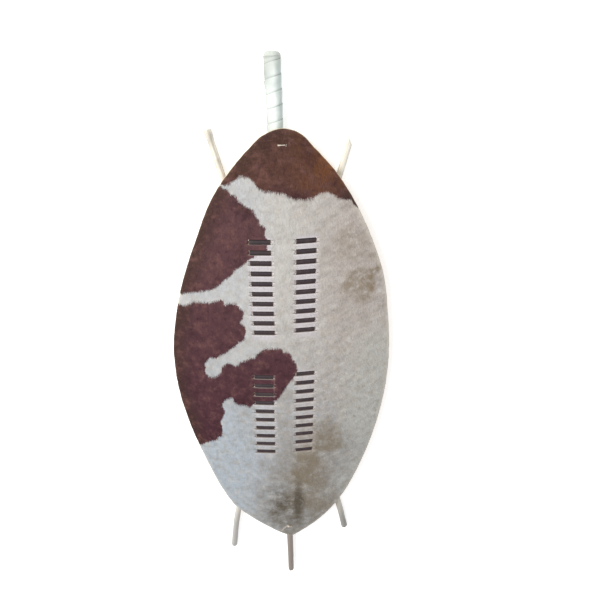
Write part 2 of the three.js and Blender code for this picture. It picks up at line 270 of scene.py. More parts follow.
# Points that fill the hide between its edge and its slits, closer together round the lacing.
WHOLE_HIDE = (-240, 220, -452, 452)
LACING_ZONES = [(-89, 79, 66, 268), (-89, 79, -210, -2)]
EDGE_CLEARANCE = 2.2
HOLE_CLEARANCE = 3.2
coarse = grid_points(GRID_PITCH, *WHOLE_HIDE)
lacing = np.zeros(len(coarse), bool)
fine_points = []
for zone in LACING_ZONES:
    low_u, high_u, low_v, high_v = zone
    within = (coarse[:, 0] > low_u) & (coarse[:, 0] < high_u)
    lacing |= within & (coarse[:, 1] > low_v) & (coarse[:, 1] < high_v)
    fine_points.append(grid_points(LACING_PITCH, *zone))
filling = np.concatenate([coarse[~lacing], *fine_points])
filling = filling[inside(edge, filling[:, 0], filling[:, 1])]
filling = filling[distance(edge, filling[:, 0], filling[:, 1]) > EDGE_CLEARANCE]
reach, height, lace_width = near_windows(filling[:, 0], filling[:, 1])
spread = slit_spread(reach, lace_width) * slit_half
in_slit = (reach < lace_width / 2 + SLIT_OVERRUN) & (np.abs(np.abs(height) - slit_middle) < spread + 0.7)
filling = filling[~in_slit]
for hole in tie_holes:
    filling = filling[np.linalg.norm(filling - hole.mean(0), axis=1) > HOLE_CLEARANCE]

border = [Vector(p) for loop in loops for p in loop]
border_edges = []
start = 0
for loop in loops:
    count = len(loop)
    border_edges += [(start + i, start + (i + 1) % count) for i in range(count)]
    start += count
cut = geometry.delaunay_2d_cdt(border + [Vector(p) for p in filling], border_edges, [], 0, 1e-5)
plan = np.array([tuple(p) for p in cut[0]])
triangles = np.array(cut[2])
middle_points = plan[triangles].mean(1)
keep = inside(edge, middle_points[:, 0], middle_points[:, 1])
reach, height, lace_width = near_windows(middle_points[:, 0], middle_points[:, 1])
spread = slit_spread(reach, lace_width) * slit_half
in_slit = (reach < lace_width / 2 + SLIT_OVERRUN) & (np.abs(np.abs(height) - slit_middle) < spread)
keep &= ~in_slit
for hole in tie_holes:
    keep &= ~inside(hole, middle_points[:, 0], middle_points[:, 1])
triangles = triangles[keep]
ab = plan[triangles[:, 1]] - plan[triangles[:, 0]]
ac = plan[triangles[:, 2]] - plan[triangles[:, 0]]
clockwise = ab[:, 0] * ac[:, 1] - ab[:, 1] * ac[:, 0] < 0
triangles[clockwise] = triangles[clockwise][:, ::-1]

# Open sides of the cut hide, and which way the hide lies from each point of them.
sides = np.concatenate([triangles[:, [0, 1]], triangles[:, [1, 2]], triangles[:, [2, 0]]])
keys = np.sort(sides, 1)
_, first_seen, times = np.unique(keys, axis=0, return_index=True, return_counts=True)
open_sides = sides[first_seen[times == 1]]
inward = np.zeros((len(plan), 2))
run = plan[open_sides[:, 1]] - plan[open_sides[:, 0]]
away = np.stack([-run[:, 1], run[:, 0]], -1) / (np.linalg.norm(run, axis=1)[:, None] + 1e-9)
np.add.at(inward, open_sides[:, 0], away)
np.add.at(inward, open_sides[:, 1], away)
inward /= np.linalg.norm(inward, axis=1)[:, None] + 1e-9
on_border = np.zeros(len(plan), bool)
on_border[open_sides.ravel()] = True

edge_distance = distance(edge, plan[:, 0], plan[:, 1])
on_edge = on_border & (edge_distance < 0.5)
reach, height, lace_width = near_windows(plan[:, 0], plan[:, 1])
in_bar = np.abs(height) < slit_middle
ramp = smooth(1 - (reach - lace_width / 2 - 0.3) / 3.2)
bar_drop = np.where(in_bar, BAR_DROP * ramp, 0.0)
unrest = 0.7 * wobble(plan[:, 0], plan[:, 1], 85, 11.3) + 0.22 * wobble(plan[:, 0], plan[:, 1], 17, 5.2)
calm = smooth(np.minimum(edge_distance, 40) / 40) * 0.7 + 0.3
unrest *= calm


def hide_points(level, shift):
    u = plan[:, 0] + inward[:, 0] * shift
    v = plan[:, 1] + inward[:, 1] * shift
    return on_hide(u, v, level + unrest - bar_drop)


bevel = np.where(on_edge, EDGE_BEVEL, np.where(on_border, SLIT_BEVEL, 0.0))
top_points = hide_points(np.where(on_edge, THICKNESS - 0.4, THICKNESS), bevel)
low_points = hide_points(np.where(on_edge, 0.3, 0.0), bevel * 0.2)
count = len(plan)
faces = [tuple(t) for t in triangles]
faces += [tuple(t) for t in (triangles + count)[:, ::-1]]
faces += [(b, a, a + count, b + count) for a, b in open_sides]
hide_mesh = bpy.data.meshes.new("hide_face_haired")
hide_mesh.from_pydata(np.concatenate([top_points, low_points]).tolist(), [], faces)

# Where the brown patches lie: listed outlines across and along the hide, run on past its edge.
BROWN_PATCHES = [
    [(-110, 356), (-97, 358), (-86, 365), (-77, 372), (-63, 371), (-53, 364), (-45, 353), (-33, 345),
     (-20, 345), (-4, 344), (6, 338), (19, 334), (37, 331), (54, 334), (57, 340), (76, 345), (86, 339),
     (96, 332), (119, 328), (120, 320), (132, 313), (170, 300), (170, 480), (-170, 480), (-170, 358)],
    [(-110, 353), (-100, 351), (-92, 343), (-82, 334), (-70, 323), (-55, 316), (-47, 301), (-43, 290),
     (-34, 283), (-35, 269), (-31, 260), (-32, 239), (-63, 226), (-71, 218), (-80, 212), (-95, 203),
     (-98, 195), (-111, 186), (-120, 177), (-135, 166), (-164, 158), (-201, 151), (-260, 150), (-260, 353)],
    [(-209, 128), (-189, 130), (-175, 138), (-158, 138), (-143, 138), (-133, 142), (-123, 146),
     (-115, 143), (-116, 136), (-107, 139), (-93, 139), (-88, 131), (-79, 123), (-82, 110), (-88, 100),
     (-81, 93), (-77, 85), (-80, 68), (-94, 55), (-113, 39), (-127, 29), (-139, 21), (-153, 20),
     (-164, 6), (-162, -3), (-165, -11), (-158, -21), (-143, -23), (-138, -16), (-131, -5), (-129, 3),
     (-114, 13), (-101, 7), (-87, 18), (-61, 28), (-54, 38), (-43, 47), (-12, 47), (-8, 40), (8, 36),
     (10, 24), (16, 14), (20, -1), (14, -16), (5, -26), (-5, -42), (-14, -57), (-24, -70), (-35, -75),
     (-68, -81), (-78, -87), (-89, -83), (-101, -82), (-109, -77), (-111, -68), (-124, -70),
     (-135, -86), (-129, -104), (-140, -127), (-137, -144), (-139, -159), (-153, -175), (-174, -184),
     (-190, -195), (-260, -196), (-260, 127)],
]


def patch_depth(u, v):
    """Millimetres inside a brown patch, or outside all of them where negative."""
    depth = np.full(len(u), -1e9)
    for outline in BROWN_PATCHES:
        loop = np.array(outline, float)
        near = distance(loop, u, v)
        depth = np.maximum(depth, np.where(inside(loop, u, v), near, -near))
    return depth


def rubbed_share(u, v):
    """Where the bands between the windows are rubbed pale."""
    reach, height, width = near_windows(u, v)
    uneven = 5 * wobble(u, v, 22, 4.7)
    return smooth((width / 2 + 9 + uneven - reach) / 13) * smooth((16 - np.abs(height)) / 5)


def flow_across(u, v):
    """How far the hair leans to the side for each millimetre that it runs towards the foot."""
    return (u + 6) * 0.0042 + 0.55 * wobble(u, v, 120, 2.7, 1) + 0.25 * wobble(u, v, 35, 8.8, 1)


def put_attribute(mesh, name, values, kind="FLOAT", domain="POINT"):
    layer = mesh.attributes.new(name, kind, domain)
    layer.data.foreach_set("vector" if kind == "FLOAT_VECTOR" else "value", np.ravel(values))


depth = patch_depth(plan[:, 0], plan[:, 1])
rubbed = rubbed_share(plan[:, 0], plan[:, 1])
lean_side = flow_across(plan[:, 0], plan[:, 1])
put_attribute(hide_mesh, "brown_depth", np.tile(depth, 2))
put_attribute(hide_mesh, "edge_distance", np.tile(edge_distance, 2))
put_attribute(hide_mesh, "rubbed", np.tile(rubbed, 2))
put_attribute(hide_mesh, "hair_tone", np.zeros(2 * count))
wall = np.zeros(len(faces), np.int32)
wall[len(triangles):2 * len(triangles)] = 2
# The cut walls at the slits' ends get material 4, painted dark as the shade inside the narrow slits.
across_cut = np.abs(run[:, 1]) > 0.8 * np.abs(run[:, 0])
wall[2 * len(triangles):] = np.where(on_edge[open_sides[:, 0]], 1, np.where(across_cut, 4, 3))
hide_mesh.polygons.foreach_set("material_index", wall)
hide_mesh.polygons.foreach_set("use_smooth", (wall == 0) | (wall == 2))

# A flat layout for the finish: hair side, flesh side and the cut walls folded out from the hair side.
layout = hide_mesh.uv_layers.new(name="OFBake")
LAYOUT_SIZE = 960.0
LAYOUT_MIDDLE = (240, 480)
flat = (plan + LAYOUT_MIDDLE) / LAYOUT_SIZE
folded = (plan - inward * 1.1 + LAYOUT_MIDDLE) / LAYOUT_SIZE
corner_points = np.zeros(len(hide_mesh.loops), np.int32)
hide_mesh.loops.foreach_get("vertex_index", corner_points)
wall_corners = np.ones(4 * len(open_sides), np.int32)
loop_faces = np.concatenate([np.repeat(wall[:2 * len(triangles)], 3), wall_corners])
low = corner_points >= count
spot = corner_points % count
uv = np.where((low & (loop_faces == 1))[:, None], folded[spot], flat[spot])
uv[:, 0] += np.where(loop_faces == 2, 0.5, 0.0)
layout.data.foreach_set("uv", uv.ravel())
hide_mesh.update()
hide = bpy.data.objects.new("hide_face_haired", hide_mesh)
bpy.context.scene.collection.objects.link(hide)


LIGHT_LEVEL = 0.94


class Field:
    """A shader value, so that a material is written as sums and products."""

    def __init__(self, paint, socket):
        self.paint = paint
        self.socket = socket

    def work(self, operation, *others):
        node = self.paint.tree.nodes.new("ShaderNodeMath")
        node.operation = operation
        for place, value in enumerate((self, *others)):
            self.paint.join(value, node.inputs[place])
        return Field(self.paint, node.outputs[0])

    def __add__(self, other):
        return self.work("ADD", other)

    def __mul__(self, other):
        return self.work("MULTIPLY", other)

    def __sub__(self, other):
        return self.work("SUBTRACT", other)

    def __rsub__(self, other):
        return (self * -1) + other

    def __truediv__(self, other):
        return self.work("DIVIDE", other)

    __radd__ = __add__
    __rmul__ = __mul__

    def clamp(self):
        return self.work("MINIMUM", 1.0).work("MAXIMUM", 0.0)

    def step(self, low, high):
        """0 below low, 1 above high."""
        return ((self - low) / (high - low)).clamp()


class Paint:
    """A material under construction."""

    def __init__(self, name, **settings):
        self.material = bpy.data.materials.new(name)
        self.material.use_nodes = True
        self.tree = self.material.node_tree
        self.shader = self.tree.nodes["Principled BSDF"]
        self.place = self.node("ShaderNodeTexCoord", output="Object")
        self.set(**settings)

    def join(self, value, socket):
        if isinstance(value, Field):
            self.tree.links.new(value.socket, socket)
        else:
            socket.default_value = value

    def node(self, kind, settings=None, output=0, **values):
        node = self.tree.nodes.new(kind)
        for name, value in (settings or {}).items():
            setattr(node, name, value)
        for name, value in values.items():
            self.join(value, node.inputs[name.replace("_", " ")])
        return Field(self, node.outputs[output])

    def set(self, **values):
        for name, value in values.items():
            self.join(value, self.shader.inputs[name.replace("_", " ")])

    def attribute(self, name, output="Fac"):
        return self.node("ShaderNodeAttribute", {"attribute_name": name}, output)

    def stretched(self, scale, where=None):
        where = self.place if where is None else where
        return self.node("ShaderNodeMapping", Vector=where, Scale=scale)

    def speckle(self, scale, detail=3.0, rough=0.55, where=None):
        where = self.place if where is None else where
        return self.node("ShaderNodeTexNoise", None, "Fac", Vector=where, Scale=scale, Detail=detail,
                         Roughness=rough)

    def axes(self):
        node = self.tree.nodes.new("ShaderNodeSeparateXYZ")
        self.join(self.place, node.inputs[0])
        return [Field(self, out) for out in node.outputs]

    def mix(self, share, a, b):
        node = self.tree.nodes.new("ShaderNodeMix")
        node.data_type = "RGBA"
        self.join(share, node.inputs[0])
        self.join(a, node.inputs[6])
        self.join(b, node.inputs[7])
        return Field(self, node.outputs[2])

    def bump(self, height, strength, reach):
        return self.node("ShaderNodeBump", None, 0, Height=height, Strength=strength, Distance=reach)


def tone(red, green, blue):
    """The surface colour that shows as these screen values of 0 to 255 under the scene's light."""
    screen = [c / 255 for c in (red, green, blue)]
    linear = [c / 12.92 if c <= 0.04045 else ((c + 0.055) / 1.055) ** 2.4 for c in screen]
    return (*[min(c / LIGHT_LEVEL, 0.95) for c in linear], 1.0)


# Coat of cow hair: brown patches with a purple cast and white elsewhere. The white turns beige to the
# right, blue-grey to the lower left and is soiled brown-grey by the foot.
BROWN_UPPER = tone(96, 65, 68)
BROWN_LOWER = tone(79, 45, 55)
BROWN_CAP = tone(94, 63, 53)
BROWN_CAP_WARM = tone(130, 82, 48)
BROWN_DEEP = tone(58, 33, 38)
BROWN_LIT = tone(134, 93, 86)
BROWN_EDGE = tone(68, 49, 38)
WHITE_UPPER = tone(204, 201, 197)
WHITE_LOWER = tone(168, 166, 166)
WHITE_COOL = tone(180, 189, 198)
WHITE_BEIGE = tone(193, 183, 177)
WHITE_LOBE = tone(191, 195, 200)
WHITE_RIGHT = tone(198, 198, 191)
WHITE_CREAM = tone(202, 192, 178)
WHITE_RUBBED = tone(199, 193, 197)
# Painted shade of the white coat's creases.
WHITE_CREASE_SHADE = tone(150, 143, 136)
WHITE_LIT = tone(222, 219, 214)
SOIL = tone(134, 129, 120)
SOIL_BROWN = tone(137, 125, 107)
SOIL_DARK = tone(74, 65, 50)
SMUDGE = tone(150, 134, 114)
SCAR = tone(176, 152, 148)


def soft_spot(across, along, x, y, wide, long):
    """A soft oval mark, 1 in its middle, a third at the given reach and 0 well past it, in metres."""
    out = ((across - x) / wide) * ((across - x) / wide) + ((along - y) / long) * ((along - y) / long)
    inner = (1 - out * 0.58).clamp()
    return inner * inner


def coat_paint(name, fine_bump):
    paint = Paint(name, Roughness=0.75, Specular_IOR_Level=0.22)
    across, along, _ = paint.axes()
    ragged = (paint.speckle(95.0, 4.0) - 0.5) * 9.0 + (paint.speckle(420.0, 2.0) - 0.5) * 2.5
    brown = (paint.attribute("brown_depth") + ragged).step(-0.8, 0.8)
    hairs = paint.speckle(1.0, 2.0, where=paint.stretched((1700, 260, 300)))
    cloud = paint.speckle(9.0, 3.0)
    blotch = paint.speckle(26.0, 4.0, 0.6)
    fine = paint.speckle(90.0, 3.0, 0.6)
    slant_side = across * 20.0 + along * 10.0
    slant_run = along * 76.0 - across * 40.0
    slanting = paint.node("ShaderNodeCombineXYZ", X=slant_side, Y=slant_run)
    waves = paint.speckle(1.0, 4.0, 0.65, where=slanting)
    mottle = paint.speckle(58.0, 5.0, 0.7)
    single = paint.attribute("hair_tone")
    drift = (cloud - 0.5) * 0.16
    x = across + drift
    y = along - drift

    deep = paint.mix(y.step(-0.15, 0.25), BROWN_LOWER, BROWN_UPPER)
    deep = paint.mix(y.step(0.315, 0.36), deep, BROWN_CAP)
    near_edge = 1 - (paint.attribute("edge_distance") + (blotch - 0.5) * 40).step(2.0, 40.0)
    deep = paint.mix(near_edge * 0.8, deep, BROWN_EDGE)
    warm = (across + (mottle - 0.5) * 0.09).step(0.02, 0.11) * y.step(0.31, 0.36)
    deep = paint.mix(warm * mottle.step(0.3, 0.55) * 0.9, deep, BROWN_CAP_WARM)
    dark_marks = blotch.step(0.52, 0.68) * 0.45 + fine.step(0.53, 0.7) * 0.4 + single.step(0.3, 1.0) * 0.35
    dark_marks = dark_marks + mottle.step(0.52, 0.7) * 0.35
    deep = paint.mix((1 - mottle.step(0.32, 0.5)) * 0.5, deep, BROWN_LIT)
    deep = paint.mix(dark_marks.clamp(), deep, BROWN_DEEP)
    fan_run = (along + across * across * 3.0 + drift * 0.25) * 240.0
    fan_place = paint.node("ShaderNodeCombineXYZ", X=across * 70.0, Y=fan_run)
    fan = paint.speckle(1.0, 3.0, 0.6, where=fan_place)
    in_cap = along.step(0.3, 0.36)
    deep = paint.mix(in_cap * fan.step(0.5, 0.7) * blotch.step(0.35, 0.6) * 0.4, deep, BROWN_DEEP)
    deep = paint.mix(in_cap * (1 - fan.step(0.3, 0.46)) * 0.22, deep, BROWN_LIT)

    pale = paint.mix(y.step(-0.18, 0.12), WHITE_LOWER, WHITE_UPPER)
    pale = paint.mix((1 - x.step(-0.12, 0.0)) * (1 - y.step(-0.12, 0.1)), pale, WHITE_COOL)
    pale = paint.mix(x.step(0.02, 0.13) * y.step(-0.2, 0.05) * 0.9, pale, WHITE_BEIGE)
    pale = paint.mix((1 - x.step(-0.07, -0.005)) * y.step(0.0, 0.15) * 0.65, pale, WHITE_LOBE)
    patchy = paint.speckle(75.0, 3.0, 0.65)
    pale = paint.mix(patchy.step(0.5, 0.7) * 0.4, pale, WHITE_CREAM)
    pale = paint.mix((1 - patchy.step(0.32, 0.5)) * (1 - y.step(-0.05, 0.15)) * 0.35, pale, WHITE_COOL)
    # Painted shade in the white coat's creases along slanting waves, with painted light on the ridges
    # between them. Blotches and mottles take the same painted shade and light.
    pale = paint.mix(waves.step(0.5, 0.68) * x.step(-0.05, 0.1) * 0.45, pale, WHITE_CREASE_SHADE)
    pale = paint.mix((1 - waves.step(0.3, 0.45)) * x.step(-0.05, 0.1) * 0.5, pale, WHITE_LIT)
    pale = paint.mix(blotch.step(0.5, 0.72) * x.step(-0.03, 0.12) * 0.25, pale, WHITE_CREASE_SHADE)
    pale = paint.mix(mottle.step(0.48, 0.72) * 0.3, pale, WHITE_CREASE_SHADE)
    pale = paint.mix((1 - mottle.step(0.3, 0.46)) * 0.35, pale, WHITE_LIT)
    tilted = y - (x - 0.175) * 0.7
    smudge = soft_spot(x, tilted, 0.174, 0.18, 0.05, 0.028)
    smudge = smudge + soft_spot(x, y, 0.145, 0.235, 0.045, 0.035) * 0.35
    pale = paint.mix((smudge * mottle.step(0.3, 0.6) * 1.3).clamp(), pale, SMUDGE)
    pale = paint.mix(x.step(0.11, 0.18) * (1 - y.step(0.05, 0.13)) * 0.55, pale, WHITE_RIGHT)
    low = (1 - y.step(-0.36, -0.16)) * x.step(-0.09, 0.0) * (1 - x.step(0.06, 0.13) * 0.6)
    pale = paint.mix((low * mottle.step(0.25, 0.6)).clamp() * 0.8, pale, SOIL)
    band = soft_spot(x, y, 0.1, -0.175, 0.04, 0.04) * 1.3
    band = band + soft_spot(x, y, 0.075, -0.205, 0.035, 0.045)
    band = band + soft_spot(x, y, 0.05, -0.25, 0.035, 0.06)
    band = band + soft_spot(x, y, 0.07, -0.32, 0.06, 0.09) * 1.1
    pale = paint.mix((band * (mottle.step(0.3, 0.65) * 0.65 + 0.35)).clamp() * 0.85, pale, SOIL_BROWN)
    foot = soft_spot(x, y, 0.014, -0.378, 0.045, 0.055) * (mottle.step(0.35, 0.6) * 0.8 + 0.25)
    foot = foot + soft_spot(x, y, -0.018, -0.315, 0.035, 0.028) * mottle.step(0.45, 0.6) * 0.5
    streak = soft_spot(across + drift * 0.05, along, 0.029, -0.345, 0.013, 0.075)
    streak = streak * (fine.step(0.25, 0.6) * 0.7 + 0.6)
    pale = paint.mix((foot * 1.05 + streak * 0.9).clamp() * 0.8, pale, SOIL_DARK)
    lower_part = 1 - y.step(-0.15, 0.1) * 0.6
    pale = paint.mix(fine.step(0.5, 0.66) * lower_part * 0.3, pale, SOIL_BROWN)
    pale = paint.mix((1 - fine.step(0.32, 0.48)) * lower_part * 0.12, pale, WHITE_LIT)
    pale = paint.mix(single.step(0.2, 1.0) * 0.22, pale, SOIL)
    pale = paint.mix(paint.attribute("rubbed") * y.step(-0.25, 0.1) * 0.8, pale, WHITE_RUBBED)
    rim = 1 - paint.attribute("edge_distance").step(2.0, 10.0)
    pale = paint.mix(rim * 0.5, pale, tone(206, 200, 188))

    off_scar = (across + 0.0144 - (along + 0.0438) * 0.0388).work("ABSOLUTE") / 0.0006
    scar = (1 - off_scar).clamp() * along.step(-0.071, -0.069) * (1 - along.step(-0.02, -0.018))
    deep = paint.mix(scar * 0.6, deep, SCAR)

    colour = paint.mix(brown, pale, deep)
    paint.set(Base_Color=paint.mix((0.5 - hairs).step(0.05, 0.3) * 0.3, colour, tone(60, 50, 46)))
    if fine_bump:
        paint.set(Normal=paint.bump(hairs * 0.7 + fine * 0.5, fine_bump, 0.0008))
    return paint.material


# Raw cut edge of the hide, with the layers of the skin showing as faint lines. It is cream, except at the
# slits' ends, where it is painted dark brown as shade.
def cut_paint(name, pale, dark):
    paint = Paint(name, Roughness=0.65)
    lines = paint.speckle(1.0, 2.0, where=paint.stretched((120, 120, 1500)))
    paint.set(Base_Color=paint.mix(lines.step(0.3, 0.7), dark, pale))
    paint.set(Normal=paint.bump(lines, 0.5, 0.0004))
    return paint.material


# Flesh side of the hide: dried, scraped, tan to grey, with a fibrous nap.
def flesh_paint():
    paint = Paint("flesh_side", Roughness=0.8)
    nap = paint.speckle(1.0, 4.0, where=paint.stretched((90, 30, 60)))
    cloud = paint.speckle(9.0, 4.0)
    base = paint.mix(cloud.step(0.3, 0.7), tone(196, 176, 142), tone(168, 146, 116))
    veins = (paint.speckle(26.0, 5.0, 0.6) - 0.5).work("ABSOLUTE").step(0.0, 0.03)
    base = paint.mix((1 - veins) * 0.35, base, tone(128, 106, 82))
    paint.set(Base_Color=paint.mix(nap.step(0.35, 0.7) * 0.4, base, tone(216, 202, 174)))
    paint.set(Normal=paint.bump(nap + paint.speckle(400.0) * 0.4, 0.5, 0.0008))
    return paint.material


coat = coat_paint("cow_coat", 0.5)
hide_mesh.materials.append(coat)
hide_mesh.materials.append(cut_paint("raw_cut_edge", tone(214, 203, 176), tone(176, 160, 128)))
hide_mesh.materials.append(flesh_paint())
hide_mesh.materials.append(cut_paint("slit_edge", tone(200, 187, 180), tone(150, 136, 130)))
# Painted shade: the slits' end walls are dark brown, though the cut hide is cream there too.
hide_mesh.materials.append(cut_paint("slit_end_shade", tone(118, 98, 94), tone(84, 68, 68)))
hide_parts("hide_face")
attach(hide, "root")

# The coat: short cow hair lying towards the foot and fanning a little outwards. It grows from the
# hide and is parted in four, from head to foot. No hair stands on the cut edge or under the laces.
COAT_PARTS = ["coat_head", "coat_upper", "coat_lower", "coat_foot"]
BLADES_PER_PART = 52000
BLADE_LENGTH = 7.5 * MM
BLADE_WIDTH = 0.55 * MM
BLADE_RISE = 0.55 * MM
BARE_EDGE = 2.2
ROOM_SEARCH = 9.0


class Tree:
    """A Geometry Nodes tree with named inputs."""

    def __init__(self, name, inputs):
        self.group = bpy.data.node_groups.new(name, "GeometryNodeTree")
        self.group.interface.new_socket("Geometry", in_out="OUTPUT", socket_type="NodeSocketGeometry")
        self.group.interface.new_socket("Geometry", in_out="INPUT", socket_type="NodeSocketGeometry")
        self.names = {}
        for label, kind in inputs.items():
            socket = self.group.interface.new_socket(label, in_out="INPUT", socket_type=kind)
            self.names[label] = socket.identifier
        self.source = self.group.nodes.new("NodeGroupInput")
        self.result = self.group.nodes.new("NodeGroupOutput")

    def given(self, label):
        return self.source.outputs[label]

    def add(self, kind, links, output=0, **settings):
        node = self.group.nodes.new(kind)
        for name, value in settings.items():
            setattr(node, name, value)
        for place, value in links.items():
            if isinstance(value, bpy.types.NodeSocket):
                self.group.links.new(value, node.inputs[place])
            else:
                node.inputs[place].default_value = value
        return node.outputs[output]

    def named(self, name, kind="FLOAT"):
        return self.add("GeometryNodeInputNamedAttribute", {"Name": name}, "Attribute", data_type=kind)

    def maths(self, operation, a, b):
        return self.add("ShaderNodeMath", {0: a, 1: b}, operation=operation)

    def chance(self, low, high, further, vector=False):
        """A random value for each hair, from the tree's seed and a number of its own."""
        seed = self.maths("ADD", self.given("Seed"), further)
        if vector:
            links = {0: low, 1: high, "Seed": seed}
            return self.add("FunctionNodeRandomValue", links, 0, data_type="FLOAT_VECTOR")
        links = {2: low, 3: high, "Seed": seed}
        return self.add("FunctionNodeRandomValue", links, 1, data_type="FLOAT")

    def grow(self, carrier, values):
        """Runs the tree on a carrier and returns the result as a plain mesh."""
        modifier = carrier.modifiers.new(self.group.name, "NODES")
        modifier.node_group = self.group
        for label, value in values.items():
            modifier[self.names[label]] = value
        bpy.context.view_layer.update()
        evaluated = carrier.evaluated_get(bpy.context.evaluated_depsgraph_get())
        mesh = bpy.data.meshes.new_from_object(evaluated)
        carrier.modifiers.remove(modifier)
        return mesh


def hair_tree():
    tree = Tree("short_hair", {
        "Density": "NodeSocketFloat", "Blade Length": "NodeSocketFloat", "Blade Width": "NodeSocketFloat",
        "Blade Rise": "NodeSocketFloat", "Seed": "NodeSocketInt", "Material": "NodeSocketMaterial",
    })
    density = tree.maths("MULTIPLY", tree.given("Density"), tree.named("hair_share"))
    scatter = {"Mesh": tree.given("Geometry"), "Density": density, "Seed": tree.given("Seed")}
    points = tree.add("GeometryNodeDistributePointsOnFaces", scatter)
    normal = points.node.outputs["Normal"]
    flow = tree.named("flow", "FLOAT_VECTOR")
    upright = tree.add("FunctionNodeAlignRotationToVector", {"Vector": normal}, axis="Z")
    lying = tree.add("FunctionNodeAlignRotationToVector", {"Rotation": upright, "Vector": flow},
                     axis="Y", pivot_axis="Z")

    # One blade: a strip that narrows to a point, with its root at the origin and its tip along +Y.
    strip = tree.add("GeometryNodeMeshGrid", {
        "Size X": tree.given("Blade Width"), "Size Y": tree.given("Blade Length"),
        "Vertices X": 2, "Vertices Y": 3,
    })
    place = tree.add("ShaderNodeSeparateXYZ", {0: tree.add("GeometryNodeInputPosition", {})})
    half_length = tree.maths("MULTIPLY", tree.given("Blade Length"), 0.5)
    run = tree.maths("ADD", place.node.outputs["Y"], half_length)
    share = tree.maths("DIVIDE", run, tree.given("Blade Length"))
    narrowing = tree.maths("SUBTRACT", 1.0, tree.maths("POWER", share, 2.2))
    across = tree.maths("MULTIPLY", place.node.outputs["X"], narrowing)
    rise = tree.maths("MULTIPLY", tree.given("Blade Rise"), tree.maths("POWER", share, 0.6))
    shaped = tree.add("ShaderNodeCombineXYZ", {0: across, 1: run, 2: rise})
    strip = tree.add("GeometryNodeSetPosition", {"Geometry": strip, "Position": shaped})
    blade = tree.add("GeometryNodeMergeByDistance", {"Geometry": strip, "Distance": 0.00001})

    swing = tree.chance((-0.07, -0.5, -0.3), (0.05, 0.5, 0.3), 1.0, vector=True)
    stature = tree.chance(0.7, 1.15, 2.0)
    reach = tree.maths("MULTIPLY", stature, tree.named("hair_length"))
    scale = tree.add("ShaderNodeCombineXYZ", {0: 1.0, 1: reach, 2: tree.maths("POWER", reach, 0.5)})
    grown = {"Points": points, "Instance": blade, "Rotation": lying, "Scale": scale}
    hairs = tree.add("GeometryNodeInstanceOnPoints", grown)
    swung = {"Instances": hairs, "Rotation": swing, "Local Space": True}
    hairs = tree.add("GeometryNodeRotateInstances", swung)
    shaded = {"Geometry": hairs, "Name": "hair_tone", "Value": tree.chance(-1.0, 1.0, 3.0)}
    hairs = tree.add("GeometryNodeStoreNamedAttribute", shaded, data_type="FLOAT", domain="INSTANCE")
    coat = tree.add("GeometryNodeRealizeInstances", {"Geometry": hairs})
    coat = tree.add("GeometryNodeSetMaterial", {"Geometry": coat, "Material": tree.given("Material")})
    tree.group.links.new(coat, tree.result.inputs[0])
    return tree


# How much room a hair has ahead of it before it would hang over a window or the hide's edge.
step = np.stack([lean_side * 0.35, -np.ones(count)], -1)
step /= np.linalg.norm(step, axis=1)[:, None]
room = np.full(count, ROOM_SEARCH)
for ahead in np.arange(ROOM_SEARCH, 0, -0.75):
    u, v = (plan + step * ahead).T
    reach, height, lace_width = near_windows(u, v)
    blocked = (reach < lace_width / 2 + 1.5) & (np.abs(height) < BAND_EDGE)
    blocked |= (reach < lace_width / 2 + SLIT_OVERRUN - 2) & (np.abs(np.abs(height) - slit_middle) < 0.5)
    room = np.where(blocked, ahead - 0.4, room)
room = np.minimum(room, np.maximum(edge_distance - 0.6, 0.5))
reach, height, lace_width = near_windows(plan[:, 0], plan[:, 1])
hidden = (reach < lace_width / 2 + 0.6) & (np.abs(height) < BAND_EDGE - 0.2)
hair_share = np.where(hidden | (edge_distance < BARE_EDGE), 0.0, 1.0)
hair_length = np.clip(room / (BLADE_LENGTH / MM), 0.12, 1.0) * (1 - 0.45 * rubbed ** 2)
ahead_points = on_hide(plan[:, 0] + step[:, 0], plan[:, 1] + step[:, 1], THICKNESS)
flow = (ahead_points - on_hide(plan[:, 0], plan[:, 1], THICKNESS)) / MM

